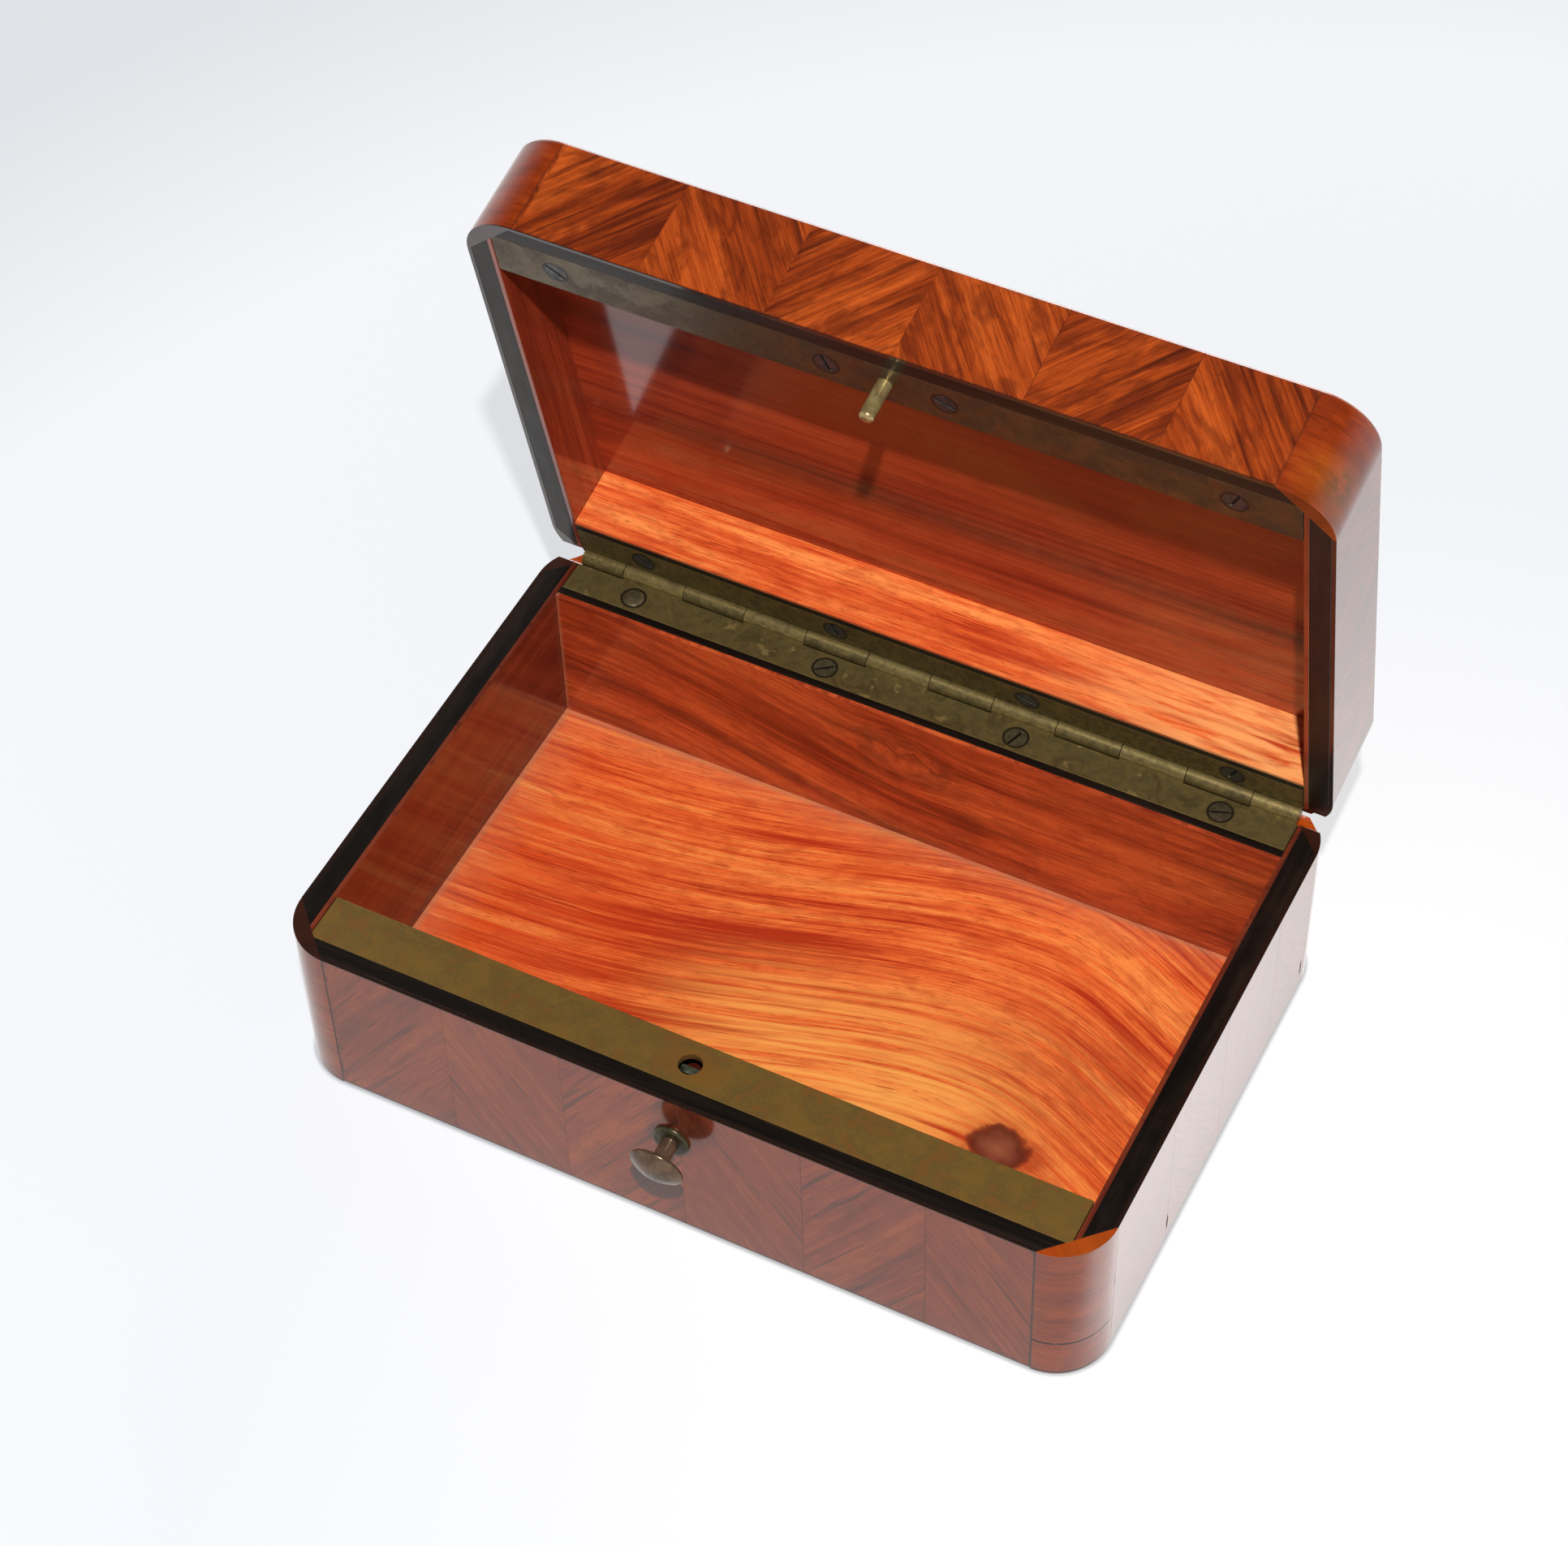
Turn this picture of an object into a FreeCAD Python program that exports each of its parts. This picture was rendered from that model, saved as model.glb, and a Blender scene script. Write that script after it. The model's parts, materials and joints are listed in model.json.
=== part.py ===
import FreeCAD, Part
import math
import os
from collections import namedtuple

# A veneered wooden box with a hinged lid and a push-knob catch, standing with its lid open.
# Millimetres. The origin is the middle of the base's underside. +X runs along the length, +Y to the
# back, where the hinge is, and +Z up. The lid is modelled shut, then turned open about the hinge.

# Outside of the box
BOX_LENGTH = 160.0
BOX_DEPTH = 109.0
BASE_HEIGHT = 37.3
LID_HEIGHT = 20.2
CORNER_RADIUS = 10.6
TOP_ARRIS = 1.2
RIM_GAP = 0.5
OPEN_ANGLE = 78.4
OPEN_LIMIT = 95.0

# Walls and layers. A wall's thickness holds its veneer, carcass board and lining.
FRONT_WALL = 13.5
BACK_WALL = 14.5
SIDE_WALL = 5.6
VENEER = 0.8
LINING = 0.9
BOTTOM_BOARD = 3.0
LID_BOARD = 5.8
FOOT_RELIEF = 0.4
CORNER_PATCH = 9.7

# Chevron veneer: the width of the first panel on a face, then the step from seam to seam
FIRST_PANEL = 24.2
PANEL_STEP = 23.6
LEAST_PANEL = 8.0

# Ebony and brass laid flush on the two rims
RIM_BAND = 1.5
FRONT_BAND = 3.1
BACK_BAND = 1.6
PLATE_END_GAP = 0.2

# Hinge
HINGE_INSET = 3.2
HINGE_END_GAP = 0.4
KNUCKLE_RADIUS = 1.9
KNUCKLE_COUNT = 12
KNUCKLE_GAP = 0.16
END_KNUCKLE = 9.05
HINGE_PIN_RADIUS = 1.0
HINGE_CLEARANCE = 0.25
RUNNING_CLEARANCE = 0.05
STOP_MARGIN = 2.0

# Countersunk slotted screws
SCREW_HEAD_RADIUS = 2.1
SCREW_SHANK_RADIUS = 1.1
SCREW_HEAD_DEPTH = 1.2
SCREW_LENGTH = 7.0
SCREW_SLOT_WIDTH = 0.5
SCREW_SLOT_DEPTH = 0.45
SCREW_DOME = 0.35
HINGE_SCREW_INNER = 19.7
HINGE_SCREW_END = 13.3
CATCH_SCREW_INNER = 10.9
CATCH_SCREW_END = 11.8
SLOT_TURNS = (35.0, 70.0, 20.0, 115.0)

# Catch pin in the lid, and the spring that holds it
CATCH_X = 0.0
CATCH_PIN_RADIUS = 1.4
CATCH_PIN_LENGTH = 7.8
CATCH_PIN_TIP = 0.9
CATCH_HOLE_CLEARANCE = 0.8
NOTCH_DEPTH = 0.85
NOTCH_WIDTH = 1.3
NOTCH_ABOVE_TIP = 2.8
SPRING_THICKNESS = 0.5
SPRING_LENGTH = 28.0
SPRING_FOOT = 8.0
SPRING_MARGIN = 0.9
SPRING_CLEARANCE = 0.3
LIP_WIDTH = 4.4
LIP_CLEARANCE = 0.15
SPRING_SCREW_HEAD_RADIUS = 1.5
SPRING_SCREW_HEAD = 0.7
SPRING_SCREW_RADIUS = 0.8
SPRING_SCREW_LENGTH = 4.5

# Push knob, its bush and the mortise behind it. The knob droops a little in its worn bush.
KNOB_X = 0.4
KNOB_DROOP = 8.0
KNOB_STEM_RADIUS = 1.6
KNOB_REACH = 5.5
KNOB_HEAD_RADIUS = 5.15
KNOB_HEAD_EDGE = 0.9
KNOB_HEAD_ROUND = 0.35
KNOB_HEAD_DOME = 1.4
KNOB_NECK = 1.0
KNOB_END_GAP = 0.15
CATCH_TIP_CLEARANCE = 1.0
BUSH_FLANGE_RADIUS = 3.5
BUSH_FLANGE = 0.9
BUSH_BODY_RADIUS = 2.8
MORTISE_SKIN = 3.8
MORTISE_MARGIN = 0.8
COLLAR_RADIUS = 2.6
COLLAR_WIDTH = 1.0
COLLAR_GAP = 0.1

# Places worked out from the sizes above
Vec = FreeCAD.Vector
HALF_X = BOX_LENGTH / 2
HALF_Y = BOX_DEPTH / 2
INNER_X = HALF_X - SIDE_WALL
INNER_FRONT = FRONT_WALL - HALF_Y
INNER_BACK = HALF_Y - BACK_WALL
LID_RIM = BASE_HEIGHT + RIM_GAP
LID_TOP = LID_RIM + LID_HEIGHT
PLATE_X = INNER_X - PLATE_END_GAP
PLATE_FRONT = VENEER + FRONT_BAND - HALF_Y
LEAF_FRONT = INNER_BACK + LINING + BACK_BAND
HINGE_Y = HALF_Y - HINGE_INSET
HINGE_Z = BASE_HEIGHT + RIM_GAP / 2
RELIEF_RADIUS = KNUCKLE_RADIUS + HINGE_CLEARANCE
HINGE_HALF = PLATE_X - HINGE_END_GAP
KNUCKLE_PITCH = 2 * (HINGE_HALF - END_KNUCKLE) / (KNUCKLE_COUNT - 2)
HINGE_BORE = HINGE_PIN_RADIUS + RUNNING_CLEARANCE
LEAF_SCREW_Y = (LEAF_FRONT + HINGE_Y - RELIEF_RADIUS) / 2
CATCH_Y = (PLATE_FRONT + INNER_FRONT) / 2
CATCH_TIP = LID_RIM - CATCH_PIN_LENGTH
NOTCH_Z = CATCH_TIP + NOTCH_ABOVE_TIP
DROOP = math.radians(KNOB_DROOP)
KNOB_UNDER_PIN = CATCH_TIP - CATCH_TIP_CLEARANCE - KNOB_STEM_RADIUS
KNOB_Z = KNOB_UNDER_PIN - (CATCH_Y + HALF_Y) * math.tan(DROOP)
KNOB_BACK = -HALF_Y - KNOB_REACH
MORTISE_FRONT = MORTISE_SKIN - HALF_Y
MORTISE_BACK = INNER_FRONT - LINING
SPRING_FRONT = CATCH_Y + CATCH_PIN_RADIUS + SPRING_CLEARANCE
SPRING_BACK = SPRING_FRONT + SPRING_THICKNESS
SPRING_LOW = KNOB_UNDER_PIN - KNOB_STEM_RADIUS - SPRING_MARGIN
SPRING_TOP = NOTCH_Z + SPRING_THICKNESS / 2
SPRING_LEFT = CATCH_X - SPRING_LENGTH
SPRING_RIGHT = max(CATCH_X + LIP_WIDTH / 2, KNOB_X + KNOB_STEM_RADIUS) + SPRING_MARGIN

# One half of the box. The body lies on the side of the rim that up points to, as +1 or -1. The carcass
# walls end at board, the veneers at edge and the corner pieces at foot.
Half = namedtuple("Half", "rim up board edge foot")
BASE = Half(BASE_HEIGHT, -1, BOTTOM_BOARD, FOOT_RELIEF, 0.0)
LID = Half(LID_RIM, 1, LID_TOP - VENEER - LID_BOARD, LID_TOP - VENEER, LID_TOP - VENEER)


def box(x0, x1, y0, y1, z0, z1):
    """A block between two opposite corners."""
    low = Vec(min(x0, x1), min(y0, y1), min(z0, z1))
    return Part.makeBox(abs(x1 - x0), abs(y1 - y0), abs(z1 - z0), low)


def rod(radius, start, end):
    """A round bar from one point to another."""
    return Part.makeCylinder(radius, (end - start).Length, start, end - start)


def prism(points, direction):
    """A prism on a closed polygon."""
    return Part.Face(Part.makePolygon(points + points[:1])).extrude(direction)


def turned(profile, x, z):
    """A turned piece from a profile of (radius, y) points, on an axis along Y at x and z."""
    points = [Vec(radius, y, 0) for radius, y in profile]
    face = Part.Face(Part.makePolygon(points + points[:1]))
    solid = face.revolve(Vec(0, 0, 0), Vec(0, 1, 0), 360)
    solid.translate(Vec(x, 0, z))
    return solid


def group(shapes):
    """All the solids of some shapes, as one node."""
    return Part.Compound([solid for shape in shapes for solid in shape.Solids])


def band_edge(half):
    """The height of the rim band's inner face."""
    return half.rim + half.up * RIM_BAND


def panel_face(half):
    """The height of the floor or roof panel's inner face."""
    return half.board - half.up * LINING


def core(z0, z1):
    """The plan of the box with its corners cut off at 45 degrees."""
    cut_x = HALF_X - CORNER_RADIUS
    cut_y = HALF_Y - CORNER_RADIUS
    plan = [
        (-cut_x, -HALF_Y), (cut_x, -HALF_Y), (HALF_X, -cut_y), (HALF_X, cut_y),
        (cut_x, HALF_Y), (-cut_x, HALF_Y), (-HALF_X, cut_y), (-HALF_X, -cut_y),
    ]
    low = min(z0, z1)
    return prism([Vec(x, y, low) for x, y in plan], Vec(0, 0, abs(z1 - z0)))


def rounded(z0, z1):
    """The plan of the box with its corners rounded."""
    block = box(-HALF_X, HALF_X, -HALF_Y, HALF_Y, z0, z1)
    upright = [e for e in block.Edges if abs(e.tangentAt(e.FirstParameter).z) > 0.5]
    return block.makeFillet(CORNER_RADIUS, upright)


def lid_envelope():
    """The lid's outside, with its top edge eased all round."""
    block = rounded(LID_RIM, LID_TOP)
    top = [e for e in block.Edges if e.BoundBox.ZMin > LID_TOP - VENEER]
    return block.makeFillet(TOP_ARRIS, top)


def hinge_relief(half):
    """What is cut from a half so that the knuckles turn freely and the lid can open to its limit."""
    reach = 2 * HINGE_INSET
    drop = reach * math.tan(math.radians((OPEN_LIMIT + STOP_MARGIN) / 2))
    section = [(0, 0), (reach, half.up * drop), (reach, -half.up * drop), (0, -half.up * drop)]
    points = [Vec(-HALF_X, HINGE_Y + y, HINGE_Z + z) for y, z in section]
    wedge = prism(points, Vec(BOX_LENGTH, 0, 0))
    return wedge.fuse(rod(RELIEF_RADIUS, Vec(-HALF_X, HINGE_Y, HINGE_Z), Vec(HALF_X, HINGE_Y, HINGE_Z)))


def fitted(shape, half):
    """A layer clipped to the cut corners and relieved round the hinge."""
    return shape.common(core(half.rim, half.foot)).cut(hinge_relief(half))


def seams(low, high):
    """The veneer seams between two ends of a face, ends included."""
    places = [low, low + FIRST_PANEL]
    while places[-1] + PANEL_STEP < high - LEAST_PANEL:
        places.append(places[-1] + PANEL_STEP)
    return places + [high]


def spans(places):
    """Neighbouring pairs of a list of places."""
    return list(zip(places[:-1], places[1:]))


def length_panels():
    """The veneer panels along the length, with the end ones run out past the corners."""
    places = seams(CORNER_RADIUS - HALF_X, HALF_X - CORNER_RADIUS)
    return spans([-HALF_X] + places[1:-1] + [HALF_X])


def depth_panels():
    """The veneer panels along the depth, with the end ones run out past the corners."""
    places = seams(CORNER_RADIUS - HALF_Y, HALF_Y - CORNER_RADIUS)
    return spans([-HALF_Y] + places[1:-1] + [HALF_Y])


def carcass(half):
    """The four carcass walls of a half: front and back run through, the sides butt between them."""
    z0 = band_edge(half)
    z1 = half.board
    skin_x = HALF_X - VENEER
    skin_y = HALF_Y - VENEER
    side_x = INNER_X + LINING
    front = box(-skin_x, skin_x, -skin_y, INNER_FRONT - LINING, z0, z1)
    back = box(-skin_x, skin_x, INNER_BACK + LINING, skin_y, z0, z1)
    left = box(-skin_x, -side_x, INNER_FRONT - LINING, INNER_BACK + LINING, z0, z1)
    right = box(side_x, skin_x, INNER_FRONT - LINING, INNER_BACK + LINING, z0, z1)
    walls = {"front": front, "back": back, "left": left, "right": right}
    return {side: fitted(wall, half) for side, wall in walls.items()}


def veneers(half):
    """The chevron veneer of a half's four faces, one solid to a panel."""
    z0 = half.rim
    z1 = half.edge
    skin_x = HALF_X - VENEER
    skin_y = HALF_Y - VENEER
    faces = {
        "front": [box(a, b, -HALF_Y, -skin_y, z0, z1) for a, b in length_panels()],
        "back": [box(a, b, skin_y, HALF_Y, z0, z1) for a, b in length_panels()],
        "left": [box(-HALF_X, -skin_x, a, b, z0, z1) for a, b in depth_panels()],
        "right": [box(skin_x, HALF_X, a, b, z0, z1) for a, b in depth_panels()],
    }
    return {side: [fitted(panel, half) for panel in panels] for side, panels in faces.items()}


def corner_pieces(half):
    """The four crescent corner pieces of a half."""
    ring = rounded(half.rim, half.foot).cut(core(half.rim, half.foot)).cut(hinge_relief(half))
    pieces = {}
    for depth, y in (("front", -HALF_Y), ("back", HALF_Y)):
        for side, x in (("left", -HALF_X), ("right", HALF_X)):
            pieces[depth + "_" + side] = ring.common(box(0, x, 0, y, half.rim, half.foot))
    return pieces


def ebony(half):
    """The ebony bands on a half's rim."""
    z0 = half.rim
    z1 = band_edge(half)
    inner_back = INNER_BACK + LINING
    bands = {
        "front": box(-INNER_X, INNER_X, VENEER - HALF_Y, PLATE_FRONT, z0, z1),
        "back": box(-INNER_X, INNER_X, inner_back, inner_back + BACK_BAND, z0, z1),
        "left": box(VENEER - HALF_X, -INNER_X - LINING, -HALF_Y, HALF_Y, z0, z1),
        "right": box(INNER_X + LINING, HALF_X - VENEER, -HALF_Y, HALF_Y, z0, z1),
    }
    return {side: fitted(band, half) for side, band in bands.items()}


def side_lining(half, sign):
    """A side lining, whose top edge runs on along the rim as a thin line to both corners."""
    x0 = sign * INNER_X
    x1 = sign * (INNER_X + LINING)
    board = box(x0, x1, INNER_FRONT - LINING, INNER_BACK + LINING, half.rim, panel_face(half))
    line = box(x0, x1, -HALF_Y, HALF_Y, half.rim, band_edge(half))
    return fitted(board.fuse(line).removeSplitter(), half)


def linings(half):
    """The inner linings of a half, and its floor or roof panel."""
    face = panel_face(half)
    side = INNER_X + LINING
    front = INNER_FRONT - LINING
    back = INNER_BACK + LINING
    return {
        "front": box(-INNER_X, INNER_X, front, INNER_FRONT, band_edge(half), face),
        "back": box(-INNER_X, INNER_X, INNER_BACK, back, half.rim, face),
        "left": side_lining(half, -1),
        "right": side_lining(half, 1),
        "panel": box(-side, side, front, back, half.board, face),
    }


def screw_blank(x, y, half):
    """A countersunk screw without its slot, flush with a half's rim."""
    into = Vec(0, 0, half.up)
    top = Vec(x, y, half.rim)
    head = Part.makeCone(SCREW_HEAD_RADIUS, SCREW_SHANK_RADIUS, SCREW_HEAD_DEPTH, top, into)
    return head.fuse(rod(SCREW_SHANK_RADIUS, top + into * SCREW_HEAD_DEPTH, top + into * SCREW_LENGTH))


def slotted(blank, x, y, half, turn):
    """A screw blank with its slot turned to an angle."""
    width = SCREW_SLOT_WIDTH / 2
    reach = SCREW_HEAD_RADIUS
    floor = half.rim + half.up * SCREW_SLOT_DEPTH
    slot = box(x - reach, x + reach, y - width, y + width, half.rim, floor)
    slot.rotate(Vec(x, y, 0), Vec(0, 0, 1), turn)
    return blank.cut(slot)


def domed(blank, x, y, half):
    """A screw blank with a plain domed head, standing a little proud of the rim."""
    ball = (SCREW_HEAD_RADIUS ** 2 + SCREW_DOME ** 2) / (2 * SCREW_DOME)
    centre = Vec(x, y, half.rim + half.up * (ball - SCREW_DOME))
    proud = half.rim - half.up * SCREW_DOME
    reach = SCREW_HEAD_RADIUS
    cap = box(x - reach, x + reach, y - reach, y + reach, half.rim, proud)
    return blank.fuse(Part.makeSphere(ball, centre).common(cap))


def leaf_screw_places():
    """Where the screws of a hinge leaf stand."""
    outer = HINGE_HALF - HINGE_SCREW_END
    across = (-outer, -HINGE_SCREW_INNER, HINGE_SCREW_INNER, outer)
    return [(x, LEAF_SCREW_Y) for x in across]


def catch_screw_places():
    """Where the screws of the catch plate stand."""
    outer = PLATE_X - CATCH_SCREW_END
    across = (-outer, -CATCH_SCREW_INNER, CATCH_SCREW_INNER, outer)
    return [(x, CATCH_Y) for x in across]


def knuckle_spans():
    """The two ends of each knuckle along X, from the left. The lid's leaf has every other one, first."""
    ends = [-HINGE_HALF]
    for place in range(KNUCKLE_COUNT):
        end_one = place in (0, KNUCKLE_COUNT - 1)
        ends.append(ends[-1] + (END_KNUCKLE if end_one else KNUCKLE_PITCH))
    return spans(ends)


def hinge_leaf(half, own, others):
    """A hinge leaf let into a rim: its plate, its own knuckles and room for the other leaf's."""
    plate = box(-PLATE_X, PLATE_X, LEAF_FRONT, HINGE_Y, half.rim, band_edge(half))
    leaf = plate.common(core(half.rim, half.foot))
    past_ends = [(-HALF_X, -HINGE_HALF), (HINGE_HALF, HALF_X)]
    for x0, x1 in others + past_ends:
        leaf = leaf.cut(rod(RELIEF_RADIUS, Vec(x0, HINGE_Y, HINGE_Z), Vec(x1, HINGE_Y, HINGE_Z)))
    for x0, x1 in own:
        start = Vec(x0 + KNUCKLE_GAP / 2, HINGE_Y, HINGE_Z)
        end = Vec(x1 - KNUCKLE_GAP / 2, HINGE_Y, HINGE_Z)
        leaf = leaf.cut(rod(RELIEF_RADIUS, Vec(x0, HINGE_Y, HINGE_Z), start))
        leaf = leaf.cut(rod(RELIEF_RADIUS, end, Vec(x1, HINGE_Y, HINGE_Z)))
        leaf = leaf.fuse(rod(KNUCKLE_RADIUS, start, end))
    bore = rod(HINGE_BORE, Vec(-HALF_X, HINGE_Y, HINGE_Z), Vec(HALF_X, HINGE_Y, HINGE_Z))
    return leaf.cut(bore)


def rim_plate(half):
    """The brass plate on a half's front rim, without its holes."""
    plate = box(-PLATE_X, PLATE_X, PLATE_FRONT, INNER_FRONT, half.rim, band_edge(half))
    return fitted(plate, half)


def catch_pin():
    """The pin riveted in the catch plate, with a rounded tip and a notch on its back."""
    top = Vec(CATCH_X, CATCH_Y, band_edge(LID))
    tip = Vec(CATCH_X, CATCH_Y, CATCH_TIP)
    shank = rod(CATCH_PIN_RADIUS, top, tip)
    end = [e for e in shank.Edges if e.BoundBox.ZMax < CATCH_TIP + CATCH_PIN_TIP and e.Closed]
    shank = shank.makeFillet(CATCH_PIN_TIP, end)
    reach = CATCH_PIN_RADIUS
    back = CATCH_Y + CATCH_PIN_RADIUS
    low = NOTCH_Z - NOTCH_WIDTH / 2
    notch = box(CATCH_X - reach, CATCH_X + reach, back - NOTCH_DEPTH, back, low, low + NOTCH_WIDTH)
    return shank.cut(notch)


def catch_spring():
    """The leaf spring behind the catch pin, with a lip bent forward to hold the pin's notch."""
    leaf = box(SPRING_LEFT, SPRING_RIGHT, SPRING_FRONT, SPRING_BACK, SPRING_LOW, SPRING_TOP)
    lip_end = CATCH_Y + CATCH_PIN_RADIUS - NOTCH_DEPTH + LIP_CLEARANCE
    half_lip = LIP_WIDTH / 2
    low = SPRING_TOP - SPRING_THICKNESS
    lip = box(CATCH_X - half_lip, CATCH_X + half_lip, lip_end, SPRING_BACK, low, SPRING_TOP)
    return leaf.fuse(lip).removeSplitter()


def spring_screw():
    """The round-headed screw that holds the spring's foot, driven forward into the front wall."""
    x = SPRING_LEFT + SPRING_FOOT / 2
    z = (SPRING_LOW + SPRING_TOP) / 2
    end = SPRING_BACK - SPRING_SCREW_LENGTH
    profile = [
        (0, end), (SPRING_SCREW_RADIUS, end), (SPRING_SCREW_RADIUS, SPRING_BACK),
        (SPRING_SCREW_HEAD_RADIUS, SPRING_BACK), (SPRING_SCREW_RADIUS, SPRING_BACK + SPRING_SCREW_HEAD),
        (0, SPRING_BACK + SPRING_SCREW_HEAD),
    ]
    return turned(profile, x, z)


def mortise():
    """The pocket in the front wall for the spring and the knob's stem, with a step for the spring's foot."""
    low = min(SPRING_LOW, KNOB_Z - COLLAR_RADIUS) - MORTISE_MARGIN
    top = band_edge(BASE)
    left = SPRING_LEFT - MORTISE_MARGIN
    step = SPRING_LEFT + SPRING_FOOT
    right = max(SPRING_RIGHT, KNOB_X + COLLAR_RADIUS, CATCH_X + CATCH_HOLE_CLEARANCE + CATCH_PIN_RADIUS)
    deep = box(step, right + MORTISE_MARGIN, MORTISE_FRONT, MORTISE_BACK, low, top)
    return deep.fuse(box(left, step, SPRING_FRONT, MORTISE_BACK, low, top))


def drooped(shape):
    """A turned piece of the knob, tipped down about the middle of the bush's mouth."""
    shape.rotate(Vec(KNOB_X, -HALF_Y, KNOB_Z), Vec(1, 0, 0), KNOB_DROOP)
    return shape


def stem_end():
    """The stem's inner end along its own axis: once tipped, its leading edge stops short of the spring."""
    room = SPRING_FRONT + HALF_Y - KNOB_END_GAP - KNOB_STEM_RADIUS * math.sin(DROOP)
    return room / math.cos(DROOP) - HALF_Y


def knob():
    """The push knob: stem, flared neck and domed head with a rounded edge, turned in one piece."""
    edge = KNOB_BACK - KNOB_HEAD_EDGE
    apex = edge - KNOB_HEAD_DOME
    inner = stem_end()
    rim = KNOB_HEAD_RADIUS - KNOB_HEAD_ROUND
    corners = [
        Vec(0, inner, 0), Vec(KNOB_STEM_RADIUS, inner, 0), Vec(KNOB_STEM_RADIUS, KNOB_BACK + KNOB_NECK, 0),
        Vec(KNOB_STEM_RADIUS + KNOB_NECK, KNOB_BACK, 0), Vec(rim, KNOB_BACK, 0),
    ]
    front_rim = Vec(rim, edge, 0)
    edge_middle = Vec(KNOB_HEAD_RADIUS, (KNOB_BACK + edge) / 2, 0)
    ball = (rim ** 2 + KNOB_HEAD_DOME ** 2) / (2 * KNOB_HEAD_DOME)
    half_turn = math.asin(rim / ball) / 2
    middle = Vec(ball * math.sin(half_turn), apex + ball * (1 - math.cos(half_turn)), 0)
    lines = [Part.makeLine(a, b) for a, b in spans(corners)]
    round_edge = Part.Arc(corners[-1], edge_middle, front_rim).toShape()
    dome = Part.Arc(front_rim, middle, Vec(0, apex, 0)).toShape()
    axis = Part.makeLine(Vec(0, apex, 0), corners[0])
    face = Part.Face(Part.Wire(lines + [round_edge, dome, axis]))
    solid = face.revolve(Vec(0, 0, 0), Vec(0, 1, 0), 360)
    solid.translate(Vec(KNOB_X, 0, KNOB_Z))
    return drooped(solid)


def bush_blank():
    """The bush before it is bored: a bevelled flange outside the wall and a body through to the mortise."""
    face = -HALF_Y
    bevel = BUSH_FLANGE / 2
    profile = [
        (0, MORTISE_FRONT), (BUSH_BODY_RADIUS, MORTISE_FRONT), (BUSH_BODY_RADIUS, face),
        (BUSH_FLANGE_RADIUS, face), (BUSH_FLANGE_RADIUS, face - bevel),
        (BUSH_FLANGE_RADIUS - bevel, face - BUSH_FLANGE), (0, face - BUSH_FLANGE),
    ]
    return turned(profile, KNOB_X, KNOB_Z)


def bush_bore():
    """The hole through the bush, on the knob's own axis."""
    radius = KNOB_STEM_RADIUS + RUNNING_CLEARANCE
    return drooped(rod(radius, Vec(KNOB_X, KNOB_BACK, KNOB_Z), Vec(KNOB_X, MORTISE_BACK, KNOB_Z)))


def stop_collar():
    """The ring on the knob's stem that stops it from coming out of the bush."""
    room = MORTISE_SKIN + COLLAR_GAP + COLLAR_RADIUS * math.sin(DROOP)
    start = room / math.cos(DROOP) - HALF_Y
    end = start + COLLAR_WIDTH
    profile = [(KNOB_STEM_RADIUS, start), (COLLAR_RADIUS, start), (COLLAR_RADIUS, end), (KNOB_STEM_RADIUS, end)]
    return drooped(turned(profile, KNOB_X, KNOB_Z))


def named(prefix, pieces, suffix):
    """A dictionary of nodes, named for where each one is."""
    return {prefix + side + suffix: shape for side, shape in pieces.items()}


def base_nodes():
    """The nodes of the base, lock and lower hinge leaf."""
    walls = carcass(BASE)
    skins = veneers(BASE)
    boards = linings(BASE)
    corners = corner_pieces(BASE)
    places = leaf_screw_places()
    blanks = [screw_blank(x, y, BASE) for x, y in places]
    bush = bush_blank()
    knuckles = knuckle_spans()
    leaf = hinge_leaf(BASE, knuckles[1::2], knuckles[0::2])
    spring = catch_spring()
    screw = spring_screw()
    for blank in blanks:
        walls["back"] = walls["back"].cut(blank)
        leaf = leaf.cut(blank)
    walls["front"] = walls["front"].cut(mortise()).cut(bush).cut(screw)
    skins["front"] = [panel.cut(bush) for panel in skins["front"]]
    patch_block = box(0, HALF_X, -HALF_Y, 0, 0, CORNER_PATCH)
    hole = rod(
        CATCH_PIN_RADIUS + CATCH_HOLE_CLEARANCE,
        Vec(CATCH_X, CATCH_Y, band_edge(BASE)),
        Vec(CATCH_X, CATCH_Y, BASE_HEIGHT),
    )
    board = box(VENEER - HALF_X, HALF_X - VENEER, VENEER - HALF_Y, HALF_Y - VENEER, 0, BOTTOM_BOARD)
    screws = [domed(blanks[0], *places[0], BASE)]
    for blank, place, turn in zip(blanks[1:], places[1:], SLOT_TURNS):
        screws.append(slotted(blank, *place, BASE, turn))
    pin_end = Vec(HINGE_HALF, HINGE_Y, HINGE_Z)
    nodes = {
        "bottom_board": board.common(core(0, BOTTOM_BOARD)),
        "floor_panel": boards.pop("panel"),
        "lock_plate": rim_plate(BASE).cut(hole),
        "knob_bush": bush.cut(bush_bore()),
        "catch_spring": spring.cut(screw),
        "catch_spring_screw": screw,
        "hinge_base_leaf": leaf,
        "hinge_pin": rod(HINGE_PIN_RADIUS, Vec(-HINGE_HALF, HINGE_Y, HINGE_Z), pin_end),
        "hinge_base_screws": group(screws),
        "base_corner_patch": corners["front_right"].common(patch_block),
    }
    corners["front_right"] = corners["front_right"].cut(patch_block)
    nodes.update(named("base_", walls, "_wall"))
    nodes.update(named("base_corner_", corners, ""))
    nodes.update({"base_" + side + "_veneer": group(panels) for side, panels in skins.items()})
    nodes.update(named("base_", ebony(BASE), "_ebony"))
    nodes.update(named("base_", boards, "_lining"))
    return nodes


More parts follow.
